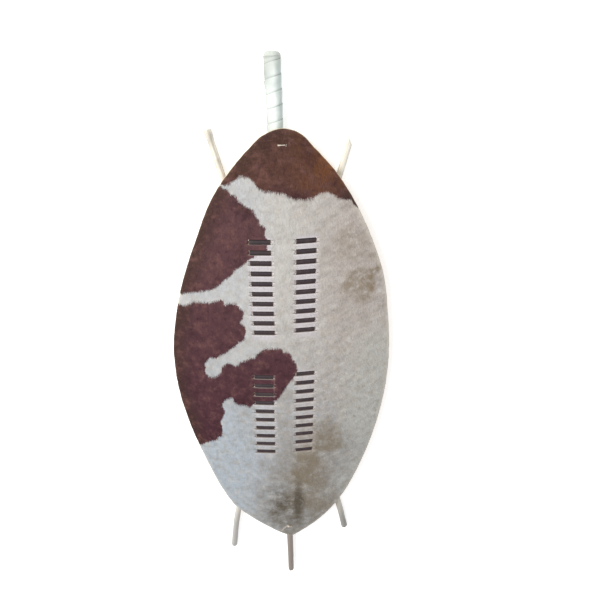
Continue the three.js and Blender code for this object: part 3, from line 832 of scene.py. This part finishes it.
centres = plan[triangles].mean(1)
ab = plan[triangles[:, 1]] - plan[triangles[:, 0]]
ac = plan[triangles[:, 2]] - plan[triangles[:, 0]]
areas = np.abs(ab[:, 0] * ac[:, 1] - ab[:, 1] * ac[:, 0]) / 2
order = np.argsort(-centres[:, 1])
part_of = np.zeros(len(triangles), int)
part_share = np.cumsum(areas[order]) / areas.sum() * len(COAT_PARTS)
part_of[order] = np.minimum(part_share.astype(int), len(COAT_PARTS) - 1)
hair_density = BLADES_PER_PART * len(COAT_PARTS) / (areas.sum() * MM * MM)
hair_paint = coat_paint("cow_hair", 0.0)
tree = hair_tree()
SKIN_VALUES = {
    "brown_depth": depth, "edge_distance": edge_distance, "rubbed": rubbed,
    "hair_share": hair_share, "hair_length": hair_length,
}
COAT_LAYOUT_SCALE = 1.9 / (MM * LAYOUT_SIZE)
for part, name in enumerate(COAT_PARTS):
    own = triangles[part_of == part]
    used, own = np.unique(own, return_inverse=True)
    carrier_mesh = bpy.data.meshes.new(name + "_skin")
    carrier_mesh.from_pydata(top_points[used].tolist(), [], own.reshape(-1, 3).tolist())
    for label, values in SKIN_VALUES.items():
        put_attribute(carrier_mesh, label, values[used])
    put_attribute(carrier_mesh, "flow", flow[used], "FLOAT_VECTOR")
    carrier = bpy.data.objects.new(name + "_skin", carrier_mesh)
    bpy.context.scene.collection.objects.link(carrier)
    mesh = tree.grow(carrier, {
        "Density": float(hair_density), "Blade Length": BLADE_LENGTH, "Blade Width": BLADE_WIDTH,
        "Blade Rise": BLADE_RISE, "Seed": 11 + part, "Material": hair_paint,
    })
    bpy.data.objects.remove(carrier)
    places = np.zeros(3 * len(mesh.vertices))
    mesh.vertices.foreach_get("co", places)
    corners = np.zeros(len(mesh.loops), np.int32)
    mesh.loops.foreach_get("vertex_index", corners)
    spread_out = places.reshape(-1, 3)[corners][:, :2] * COAT_LAYOUT_SCALE + (0.5, 0.5)
    spread_out[:, 1] -= places.reshape(-1, 3)[:, 1].mean() * COAT_LAYOUT_SCALE
    for old in list(mesh.uv_layers):
        mesh.uv_layers.remove(old)
    mesh.uv_layers.new(name="OFBake").data.foreach_set("uv", spread_out.ravel())
    mesh.name = name
    part_of_coat = bpy.data.objects.new(name, mesh)
    bpy.context.scene.collection.objects.link(part_of_coat)
    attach(part_of_coat, "root")


# The laces: four flat strips of dark haired hide. Each is pushed down and up through the slits from
# head to foot, so that it shows in every window, and its two tails lie behind the hide.
LACE_THICKNESS = 1.6
LACE_TAIL = 11.0
LACE_BEHIND = -1.3
LACE_FRONT = 2.45
LACE_COLUMNS = 22


def ring_mesh(name, rings, closed=False):
    """A body through rings of points, its faces turned outwards."""
    rings = np.asarray(rings, float)
    rows, columns = rings.shape[:2]
    index = np.arange(rows * columns).reshape(rows, columns)
    ahead = np.roll(index, -1, 0) if closed else index[1:]
    index = index if closed else index[:-1]
    beside = np.roll(index, -1, 1)
    ahead_beside = np.roll(ahead, -1, 1)
    faces = np.stack([index, beside, ahead_beside, ahead], -1).reshape(-1, 4).tolist()
    if not closed:
        faces.append(list(range(columns))[::-1])
        faces.append(list(range((rows - 1) * columns, rows * columns)))
    mesh = bpy.data.meshes.new(name)
    mesh.from_pydata(rings.reshape(-1, 3).tolist(), [], faces)
    flat_points = rings.reshape(-1, 3)
    quads = np.array(faces[:(rows if closed else rows - 1) * columns])
    a, b, c, d = (flat_points[quads[:, i]] for i in range(4))
    volume = np.einsum("ij,ij->i", a, np.cross(b, c)).sum()
    volume += np.einsum("ij,ij->i", a, np.cross(c, d)).sum()
    if volume < 0:
        mesh.flip_normals()
    mesh.polygons.foreach_set("use_smooth", np.ones(len(mesh.polygons), bool))
    return mesh


def place_piece(mesh, node, materials):
    for material in materials:
        mesh.materials.append(material)
    piece = bpy.data.objects.new(mesh.name, mesh)
    bpy.context.scene.collection.objects.link(piece)
    if node:
        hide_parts(node)
    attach(piece, "root")


def lace_paint():
    paint = Paint("dark_lace", Roughness=0.7)
    fibre = paint.speckle(1.0, 3.0, where=paint.stretched((900, 120, 400)))
    worn = paint.speckle(60.0, 3.0).step(0.5, 0.75)
    base = paint.mix(fibre.step(0.3, 0.7), tone(34, 24, 27), tone(54, 41, 45))
    base = paint.mix(worn * 0.35, base, tone(78, 63, 65))
    paint.set(Base_Color=paint.mix(1 - paint.attribute("haired"), base, tone(120, 104, 94)))
    paint.set(Normal=paint.bump(fibre, 0.6, 0.0005))
    return paint.material


dark_lace = lace_paint()
for number, (name, (first, last, start_along, pitch, width, lean)) in enumerate(LACES.items()):
    route = [(start_along + 3.4 + LACE_TAIL, LACE_BEHIND)]
    for i in range(WINDOWS):
        along = start_along - i * pitch
        for offset, level in ((5.6, LACE_BEHIND), (4.1, -0.75), (3.4, 0.6), (2.7, 1.9), (1.2, LACE_FRONT)):
            route.append((along + offset, level))
        for offset, level in ((1.2, LACE_FRONT), (2.7, 1.9), (3.4, 0.6), (4.1, -0.75), (5.6, LACE_BEHIND)):
            route.append((along - offset, level))
    route.append((start_along - (WINDOWS - 1) * pitch - 3.4 - LACE_TAIL, LACE_BEHIND))
    line = through_points(route, 3, False)
    heading = np.gradient(line, axis=0)
    heading /= np.linalg.norm(heading, axis=1)[:, None]
    outward = np.stack([heading[:, 1], -heading[:, 0]], -1)
    total = WINDOWS * pitch - pitch
    middle = first + (last - first) * np.clip((start_along - line[:, 0]) / total, 0, 1)
    trim = 0.35 * wobble(np.full(len(line), number * 40.0), line[:, 0], 13, 6.6)
    angles = np.linspace(0, 2 * math.pi, LACE_COLUMNS, endpoint=False) + 0.001
    shape_across = np.sign(np.cos(angles)) * np.abs(np.cos(angles)) ** 0.35
    shape_above = np.sign(np.sin(angles)) * np.abs(np.sin(angles)) ** 0.5
    rings = []
    haired = []
    for at, out, mid, cut_off in zip(line, outward, middle, trim):
        half_width = width / 2 + cut_off
        crown = 0.18 * (1 - shape_across ** 2) * (shape_above > 0)
        lift = shape_above * LACE_THICKNESS / 2 + crown
        offset = shape_across * half_width
        v = at[0] + offset * lean + out[0] * lift
        n = at[1] + out[1] * lift
        rings.append(on_hide(mid + offset, v, n))
        haired.append((np.abs(shape_across) < 0.985) & (shape_above > 0))
    mesh = ring_mesh(name + "_woven", rings)
    put_attribute(mesh, "haired", np.array(haired, float))
    place_piece(mesh, name, [dark_lace])

# The pole: a straight peeled stick the length of the shield, its foot worn round and grey.
# It was trimmed with a knife, which left low knots and long flats, and it is tied to the hide's tips.
POLE_RADIUS = 7.5
POLE_FOOT_RADIUS = 6.6
POLE_HEIGHT = 13.8
POLE_FOOT = -567.0
POLE_HEAD = 562.6
POLE_WORN_FROM = -450.0
POLE_WRAPPED_FROM = 420.0
KNOT_REACH = 7.0


def knot_relief(along, angle, knots):
    """The low swellings left where twigs were trimmed off."""
    relief = np.zeros(np.broadcast(along, angle).shape)
    for knot_along, knot_angle, knot_height in knots:
        around = np.abs((angle - knot_angle + math.pi) % (2 * math.pi) - math.pi) * 7.0
        far = np.hypot((along - knot_along) / 1.5, around)
        relief += knot_height * np.exp(-((far / KNOT_REACH) ** 2) * 2.5)
        relief -= knot_height * 0.7 * np.exp(-((far / 2.0) ** 2))
    return relief


def whittled(along, angle, seed, knots):
    """Unevenness of a peeled stick, in millimetres, along it and round it."""
    around = np.stack([np.cos(angle), np.sin(angle)], -1) * 0.9
    slow = np.array([noise.noise(Vector((a[0], a[1], along / 60 + seed))) for a in around])
    quick = np.array([noise.noise(Vector((a[0] * 2.4, a[1] * 2.4, along / 16 + seed * 2))) for a in around])
    return 0.5 * slow + 0.18 * quick + knot_relief(along, angle, knots)


def with_flats(around, along, angle, radius, seed, flats):
    """Takes the long knife flats off a stick's round."""
    for i, (flat_angle, depth) in enumerate(flats):
        drift = noise.noise(Vector((along / 70, seed + i * 3.1, 0)))
        facing = np.cos(angle - flat_angle - 0.25 * drift)
        limit = (radius - depth - 0.25 * drift) / np.maximum(facing, 0.3)
        around = np.minimum(around, limit)
    return around


def grain_run(stations, turned):
    """Places for the grain, so that it runs along a stick however the stick is bent: metres."""
    along, angle = np.meshgrid(stations, turned, indexing="ij")
    return np.stack([along, 7 * np.cos(angle), 7 * np.sin(angle)], -1).reshape(-1, 3) * MM


def wood_paint(name, pale, dark, weathered):
    paint = Paint(name, Roughness=0.6)
    run = paint.attribute("grain_run", "Vector")
    grain = paint.speckle(1.0, 4.0, where=paint.stretched((14, 420, 420), run))
    lines = paint.speckle(1.0, 2.0, where=paint.stretched((30, 900, 900), run))
    cloud = paint.speckle(30.0, 3.0)
    base = paint.mix(grain.step(0.36, 0.62), dark, pale)
    base = paint.mix(cloud.step(0.5, 0.75) * 0.5, base, weathered)
    base = paint.mix((1 - lines.step(0.32, 0.46)) * 0.6, base, dark)
    _, along, _ = paint.axes()
    greyed = (1 - along.step(-0.42, -0.3)) * 0.85
    paint.set(Base_Color=paint.mix(greyed, base, weathered))
    paint.set(Normal=paint.bump(grain * 0.6 + lines * 0.6, 0.8, 0.0008))
    return paint.material


pole_wood = wood_paint("pole_wood", tone(190, 172, 154), tone(126, 112, 102), tone(134, 125, 119))
stations = np.concatenate([POLE_FOOT + 6 * (1 - np.cos(np.radians([4, 14, 26, 38, 50, 62, 76]))),
                           np.arange(POLE_FOOT + 7, POLE_HEAD, 5.0), [POLE_HEAD]])
turned = np.linspace(0, 2 * math.pi, 28, endpoint=False)
POLE_FLATS = [(0.5, 0.7), (2.6, 0.6), (-1.4, 0.8)]
POLE_KNOTS = [
    (-520, 1.1, 0.5), (-380, 4.0, 0.6), (-150, 2.5, 0.5), (60, 5.2, 0.6), (300, 0.4, 0.5), (-548, 2.6, 0.4),
]
rings = []
for along in stations:
    share = np.clip((along - POLE_FOOT) / (POLE_WORN_FROM - POLE_FOOT), 0, 1)
    radius = POLE_FOOT_RADIUS + (POLE_RADIUS - POLE_FOOT_RADIUS) * share
    into = np.clip((along - POLE_FOOT) / 6, 0, 1)
    radius = radius * math.sqrt(1 - (1 - into) ** 2) - 0.15
    wrapped = along > POLE_WRAPPED_FROM
    swell = whittled(along, turned, 4.4, POLE_KNOTS) * min(1, into) * (0.6 if wrapped else 1)
    around = radius + np.minimum(swell, 0.35 if wrapped else 1)
    around = with_flats(around, along, turned, radius, 2.2, POLE_FLATS)
    x = POLE_ACROSS + around * np.sin(turned)
    z = POLE_HEIGHT + around * np.cos(turned)
    rings.append(np.stack([x, np.full(len(turned), along + FRAME_ALONG), z], -1) * MM)
pole_mesh = ring_mesh("centre_pole_whittled", rings)
put_attribute(pole_mesh, "grain_run", grain_run(stations, turned), "FLOAT_VECTOR")
place_piece(pole_mesh, "centre_pole", [pole_wood])

# The wound head: a strip of white hide wound in a spiral up the pole's top, each turn laid over the
# foot of the next one, and a pad of the same hide drawn over the end and tucked in.
WRAP_START = 435.0
WRAP_SHOULDER = 563.0
WRAP_CROWN = 9.0
WRAP_RADIUS = 15.0
WRAP_STRIP = 24.0
WRAP_STEP = 1.1
WRAP_TUCK = 3.0
WRAP_THICKNESS = 1.2
WRAP_COLUMNS = 72
STRIP_COLUMNS = 26


def around_pole(radius, angle, along):
    """Points round the head of the pole, whose last third bulges a little and to the left."""
    bulge = smooth((along - 508) / 16)
    x = POLE_ACROSS - 1.3 * bulge + (radius + 0.7 * bulge) * np.sin(angle)
    z = np.maximum(POLE_HEIGHT + (radius + 0.7 * bulge) * np.cos(angle), 0.02)
    return np.stack([x, along + FRAME_ALONG, z], -1) * MM


def puckers(angle, along):
    """Small unevenness of the hide strip."""
    return np.array([noise.fractal(Vector((math.cos(a) * 1.9, math.sin(a) * 1.9, v / 9 + 7)), 1.0, 2.0, 3)
                     for a, v in zip(np.broadcast_to(angle, np.shape(along)), along)])


def joined(name, meshes):
    """One mesh of several bodies."""
    whole = bmesh.new()
    for mesh in meshes:
        whole.from_mesh(mesh)
    result = bpy.data.meshes.new(name)
    whole.to_mesh(result)
    whole.free()
    return result


def wrap_paint():
    paint = Paint("white_wrap", Roughness=0.75)
    nap = paint.speckle(260.0, 4.0, 0.6)
    cloud = paint.speckle(38.0, 3.0)
    base = paint.mix(cloud.step(0.35, 0.7), tone(234, 240, 236), tone(216, 223, 219))
    base = paint.mix(nap.step(0.55, 0.8) * 0.35, base, tone(196, 203, 198))
    across, along, height = paint.axes()
    # Painted shade: the wrap's right side, away from the light, is darkened to grey-green.
    base = paint.mix((across + (cloud - 0.5) * 0.01).step(0.005, 0.015) * 0.8, base, tone(178, 190, 186))
    # Painted shade on the wrap's left side, strongest towards its top and lower end and low down by the
    # floor.
    shaded_left_side = 1 - (across + (cloud - 0.5) * 0.008).step(-0.012, 0.007)
    shaded_ends = along.step(0.505, 0.53) * 0.75 + (1 - along.step(0.455, 0.48)) * 0.35 + 0.5
    shaded_foot = 1 - (height + (cloud - 0.5) * 0.006).step(0.016, 0.022)
    base = paint.mix((shaded_left_side * (shaded_ends + shaded_foot)).clamp() * 0.8, base, tone(140, 145, 138))
    # Painted shade: the wrap's top end and crown are greyed.
    base = paint.mix(along.step(0.535, 0.562) * 0.75, base, tone(190, 194, 186))
    # Darker along the seams of the strip and pad, as painted shade.
    paint.set(Base_Color=paint.mix(paint.attribute("seam_shade") * 0.5, base, tone(150, 156, 150)))
    paint.set(Normal=paint.bump(nap, 0.6, 0.0006))
    return paint.material


# Section of the strip, from its tucked foot to its free head edge and back underneath.
strip_turn = np.linspace(0, 2 * math.pi, STRIP_COLUMNS, endpoint=False) + 0.06
strip_across = np.sign(np.cos(strip_turn)) * np.abs(np.cos(strip_turn)) ** 0.45
strip_above = np.sign(np.sin(strip_turn)) * np.abs(np.sin(strip_turn)) ** 0.6
strip_share = (strip_across + 1) / 2
rings = []
seam_shades = []
turns_needed = (WRAP_SHOULDER - WRAP_START) / WRAP_STRIP + 1.4
for angle in np.arange(-2 * math.pi, (turns_needed - 1) * 2 * math.pi, 2 * math.pi / WRAP_COLUMNS):
    foot = WRAP_START + WRAP_STRIP * angle / (2 * math.pi)
    wander = 0.9 * noise.noise(Vector((angle * 0.9, 3.3, 0)))
    along = foot - WRAP_TUCK + strip_share * (WRAP_STRIP + WRAP_TUCK) + wander * strip_share
    tucked = smooth((foot + 0.8 - along) / 2.2)
    level = WRAP_RADIUS - 0.4 - WRAP_STEP * (1 - (along - foot) / WRAP_STRIP) - 1.0 * tucked
    radius = level + (strip_above - 1) * WRAP_THICKNESS / 2
    along = np.clip(along, WRAP_START, WRAP_SHOULDER + 0.5)
    radius = radius + 0.22 * puckers(angle, along) * (strip_above > 0)
    rings.append(around_pole(radius, angle, along))
    # Painted shade along the foot of each turn, where it runs under the edge of the turn below.
    seam_shades.append(smooth((foot + 2.6 - along) / 2.6) * (strip_above > 0))
strip_mesh = ring_mesh("wrap_strip", rings)
put_attribute(strip_mesh, "seam_shade", np.array(seam_shades))
angles = np.linspace(0, 2 * math.pi, WRAP_COLUMNS, endpoint=False)
rings = []
seam_shades = []
for along in np.arange(WRAP_START, WRAP_SHOULDER - 0.5, 4.0):
    rings.append(around_pole(np.full(WRAP_COLUMNS, 12.6), angles, np.full(WRAP_COLUMNS, along)))
    seam_shades.append(np.zeros(WRAP_COLUMNS))
for lean_in in np.radians([0, 8, 16, 24, 32, 40, 48, 56, 64, 72, 80, 87]):
    along = np.full(WRAP_COLUMNS, WRAP_SHOULDER + WRAP_CROWN * math.sin(lean_in))
    creases = 1 + 0.035 * math.sin(lean_in) * np.sin(angles * 9 + 2 * np.sin(angles * 2))
    radius = (WRAP_RADIUS - 0.9) * math.cos(lean_in) ** 0.62 * creases + 0.25 * puckers(angles, along)
    rings.append(around_pole(radius, angles, along))
    # Painted shade along the pad's lowest ring, where it meets the strip.
    seam_shades.append(np.full(WRAP_COLUMNS, 0.25 * (lean_in < 0.1)))
pad_mesh = ring_mesh("wrap_pad", rings)
put_attribute(pad_mesh, "seam_shade", np.array(seam_shades))
place_piece(joined("head_wrap_wound", [pad_mesh, strip_mesh]), "head_wrap", [wrap_paint()])

# The ties: one rawhide thong at each end, round the pole and through two holes near the hide's tip.
# Each is closed round the pole and twists over as it crosses the hair side.
THONG_WIDTH = 3.2
THONG_THICKNESS = 1.5


def hair_side(x, along):
    """Height of the hair side above the floor, from millimetres beside and along the pole."""
    return underside(*hide_place(x, along)) + THICKNESS


def thong_paint():
    paint = Paint("rawhide_thong", Roughness=0.5)
    cloud = paint.speckle(180.0, 3.0)
    paint.set(Base_Color=paint.mix(cloud.step(0.35, 0.7), tone(184, 168, 152), tone(212, 202, 190)))
    paint.set(Normal=paint.bump(cloud, 0.4, 0.0004))
    return paint.material


def thong_ring(centre, forward, twist, pinch):
    """A rounded oblong section standing across the thong's run, turned about it by the twist."""
    turns = np.linspace(0, 2 * math.pi, 14, endpoint=False)
    flat = np.sign(np.cos(turns)) * np.abs(np.cos(turns)) ** 0.7 * THONG_WIDTH / 2 * pinch
    thick = np.sign(np.sin(turns)) * np.abs(np.sin(turns)) ** 0.7 * THONG_THICKNESS / 2
    side = np.array([-forward[1], forward[0]])
    length_ways = flat * math.cos(twist) - thick * math.sin(twist)
    outwards = flat * math.sin(twist) + thick * math.cos(twist)
    x = POLE_ACROSS + centre[0] + side[0] * outwards
    z = centre[1] + side[1] * outwards
    return x, length_ways, z


rawhide = thong_paint()
for name, (along, left, right) in TIES.items():
    reach = POLE_RADIUS + 0.4 + THONG_THICKNESS / 2
    over = 0.3 + THONG_THICKNESS / 2
    corners = [(right - 0.3, hair_side(right, along) - 1.6), (right - 1.7, hair_side(right, along) + over)]
    corners.append(((left + right) / 2, hair_side((left + right) / 2, along) + over + 0.35))
    corners += [(left + 1.7, hair_side(left, along) + over), (left + 0.3, hair_side(left, along) - 1.6)]
    corners.append((left, hair_side(left, along) - 7))
    for angle in np.radians(np.arange(150, 391, 30)):
        corners.append((reach * math.cos(angle), POLE_HEIGHT + reach * math.sin(angle)))
    corners.append((right, hair_side(right, along) - 7))
    line = through_points(corners, 7, True)
    heading = np.roll(line, -1, 0) - np.roll(line, 1, 0)
    heading /= np.linalg.norm(heading, axis=1)[:, None]
    rings = []
    for at, forward in zip(line, heading):
        seen = at[1] > hair_side(at[0], along) - 0.2
        twist = math.pi * (at[0] - left) / (right - left) if seen else 0.0
        x, length_ways, z = thong_ring(at, forward, twist, 0.8 if seen else 1.0)
        rings.append(np.stack([x, along + length_ways + FRAME_ALONG, z], -1) * MM)
    place_piece(ring_mesh(name + "_thong", rings, closed=True), name, [rawhide])

# The thong's loose end at the foot, lying on the coat.
end_line = through_points([(-24, -431), (-17, -423), (-11, -416), (-7, -413), (-4, -415.5)], 8, False)
rings = []
for i, (u, v) in enumerate(end_line):
    share = i / (len(end_line) - 1)
    ahead = end_line[min(i + 1, len(end_line) - 1)] - end_line[max(i - 1, 0)]
    side = np.array([-ahead[1], ahead[0]]) / np.linalg.norm(ahead)
    turns = np.linspace(0, 2 * math.pi, 12, endpoint=False)
    broad = 0.5 + 0.45 * smooth(np.array(share * 4))
    flat = np.cos(turns) * broad
    level = THICKNESS + 1.0 + 0.3 * math.sin(share * 7) + np.sin(turns) * 0.5
    rings.append(on_hide(u + side[0] * flat, v + side[1] * flat, level))
place_piece(ring_mesh("foot_tie_end", rings), None, [rawhide])

# The sticks: two peeled sticks crossed on top of the pole, under the hide, sprung down to the floor.
# Their heads are cut with a knife, the left one square and the right one split aslant; the feet are round.
STICK_ROUND = 7.0
STICK_BOW = 2.25
STICK_COLUMNS = 26
SLANT_REACH = 20
STICK_PALE = tone(242, 238, 229)
STICK_DARK = tone(206, 197, 178)
STICKS = {
    "left_stick": {
        "route": [(-120, 449), (-97, 362), (4.5, 17), (112, -366), (128, -444)],
        "top": 13.3, "foot": 14.5, "crossing": 28.65, "slant": 0.0, "seed": 1.7,
        "knots": [(58, 1.2, 0.6), (210, 4.4, 0.5), (430, 2.2, 0.6), (640, 0.7, 0.5), (880, 1.6, 0.6)],
        "flats": [(1.0, 0.5), (2.3, 0.8), (-0.6, 0.6), (3.9, 0.6)],
        "flare": 1.0, "worn_foot": (124, 123, 121),
    },
    "right_stick": {
        "route": [(131, 425), (112, 365), (5, 17), (-114, -378), (-133, -495)],
        "top": 12.3, "foot": 14.2, "crossing": 42.625, "slant": -6.0, "seed": 9.3,
        "knots": [(75, 2.0, 0.5), (300, 0.9, 0.6), (520, 3.9, 0.5), (760, 5.1, 0.6), (905, 1.4, 0.5)],
        "flats": [(0.7, 0.7), (2.0, 0.5), (-0.9, 0.6), (3.4, 0.7)],
        "flare": 0.0, "worn_foot": (160, 158, 156),
    },
}
turned = np.linspace(0, 2 * math.pi, STICK_COLUMNS, endpoint=False)
for name, stick in STICKS.items():
    route = through_points(stick["route"], 40, False)
    lengths = np.concatenate([[0], np.cumsum(np.linalg.norm(np.diff(route, axis=0), axis=1))])
    total = lengths[-1]
    crossing = np.array(stick["route"][2], float)
    rounding = STICK_ROUND * (1 - np.sin(np.radians([0, 14, 28, 42, 56, 68, 78, 86])))
    straight = np.arange(5, total - STICK_ROUND, 5.0)
    stations = np.concatenate([[0.0, 0.9, 2.2], straight, total - rounding])
    rings = []
    for run in stations:
        at = np.array([np.interp(run, lengths, route[:, i]) for i in range(2)])
        near = np.array([np.interp([run - 1, run + 1], lengths, route[:, i]) for i in range(2)])
        ahead = near[:, 1] - near[:, 0]
        ahead /= np.linalg.norm(ahead)
        side = np.array([ahead[1], -ahead[0]])
        ends = stick["route"][0] if run < total / 2 else stick["route"][-1]
        reach = np.linalg.norm(at - crossing) / np.linalg.norm(crossing - np.array(ends, float))
        down = min(1.0, reach ** 2 * (STICK_BOW - (STICK_BOW - 1) * reach))
        end_radius = (stick["top"] if run < total / 2 else stick["foot"]) / 2
        height = stick["crossing"] + (end_radius - 0.5 - stick["crossing"]) * down
        radius = (stick["top"] + (stick["foot"] - stick["top"]) * run / total) / 2
        into = np.clip((total - run) / STICK_ROUND, 0, 1)
        radius *= math.sqrt(1 - (1 - into) ** 2)
        swell = whittled(run, turned, stick["seed"], stick["knots"]) * into - 0.3
        bevel = 0.8 * (1 - min(run / 1.8, 1.0)) ** 2
        around = radius + np.minimum(swell, 0.25)
        around = with_flats(around, run, turned, radius, stick["seed"], stick["flats"])
        around += stick["flare"] * smooth(np.array(1.5 - run / 12)) - bevel
        point_x = at[0] + side[0] * around * np.cos(turned)
        point_y = at[1] + side[1] * around * np.cos(turned)
        if run < SLANT_REACH:
            shift = stick["slant"] * np.cos(turned) * (1 - run / SLANT_REACH)
            point_x = point_x + ahead[0] * shift
            point_y = point_y + ahead[1] * shift
        z = np.maximum(height + around * np.sin(turned), 0.02)
        rings.append(np.stack([point_x + POLE_ACROSS, point_y + FRAME_ALONG, z], -1) * MM)
    stick_mesh = ring_mesh(name + "_peeled", rings)
    put_attribute(stick_mesh, "grain_run", grain_run(stations + stick["seed"] * 300, turned), "FLOAT_VECTOR")
    stick_wood = wood_paint(name + "_wood", STICK_PALE, STICK_DARK, tone(*stick["worn_foot"]))
    place_piece(stick_mesh, name, [stick_wood])

# The floor: a plain pale studio floor, which isn't part of the object.
# The light is one large soft window from the upper left and an even pale sky.
FLOOR_SIZE = 30.0
floor_mesh = bpy.data.meshes.new("floor")
half = FLOOR_SIZE / 2
floor_corners = [(-half, -half, 0), (half, -half, 0), (half, half, 0), (-half, half, 0)]
floor_mesh.from_pydata(floor_corners, [], [(0, 1, 2, 3)])
floor = bpy.data.objects.new("floor", floor_mesh)
floor_paint = Paint("studio_floor", Roughness=0.9, Base_Color=(0.9, 0.9, 0.9, 1))
floor_paint.set(Emission_Color=(1, 1, 1, 1), Emission_Strength=0.46)
floor_mesh.materials.append(floor_paint.material)
bpy.context.scene.collection.objects.link(floor)

window_light = bpy.data.lights.new("window", "AREA")
window_light.shape = "DISK"
window_light.size = 1.6
window_light.energy = 58.0
window_light.color = (1.0, 0.98, 0.95)
window = bpy.data.objects.new("window", window_light)
WINDOW_PLACE = Vector((-1.5, 1.0, 1.9))
window.location = WINDOW_PLACE
window.rotation_euler = (-WINDOW_PLACE).to_track_quat("-Z", "Y").to_euler()
bpy.context.scene.collection.objects.link(window)
bpy.context.scene.view_settings.view_transform = "Standard"
sky = bpy.data.worlds.new("sky")
sky.use_nodes = True
sky.node_tree.nodes["Background"].inputs["Color"].default_value = (0.97, 0.985, 1.0, 1)
sky.node_tree.nodes["Background"].inputs["Strength"].default_value = 0.66
bpy.context.scene.world = sky
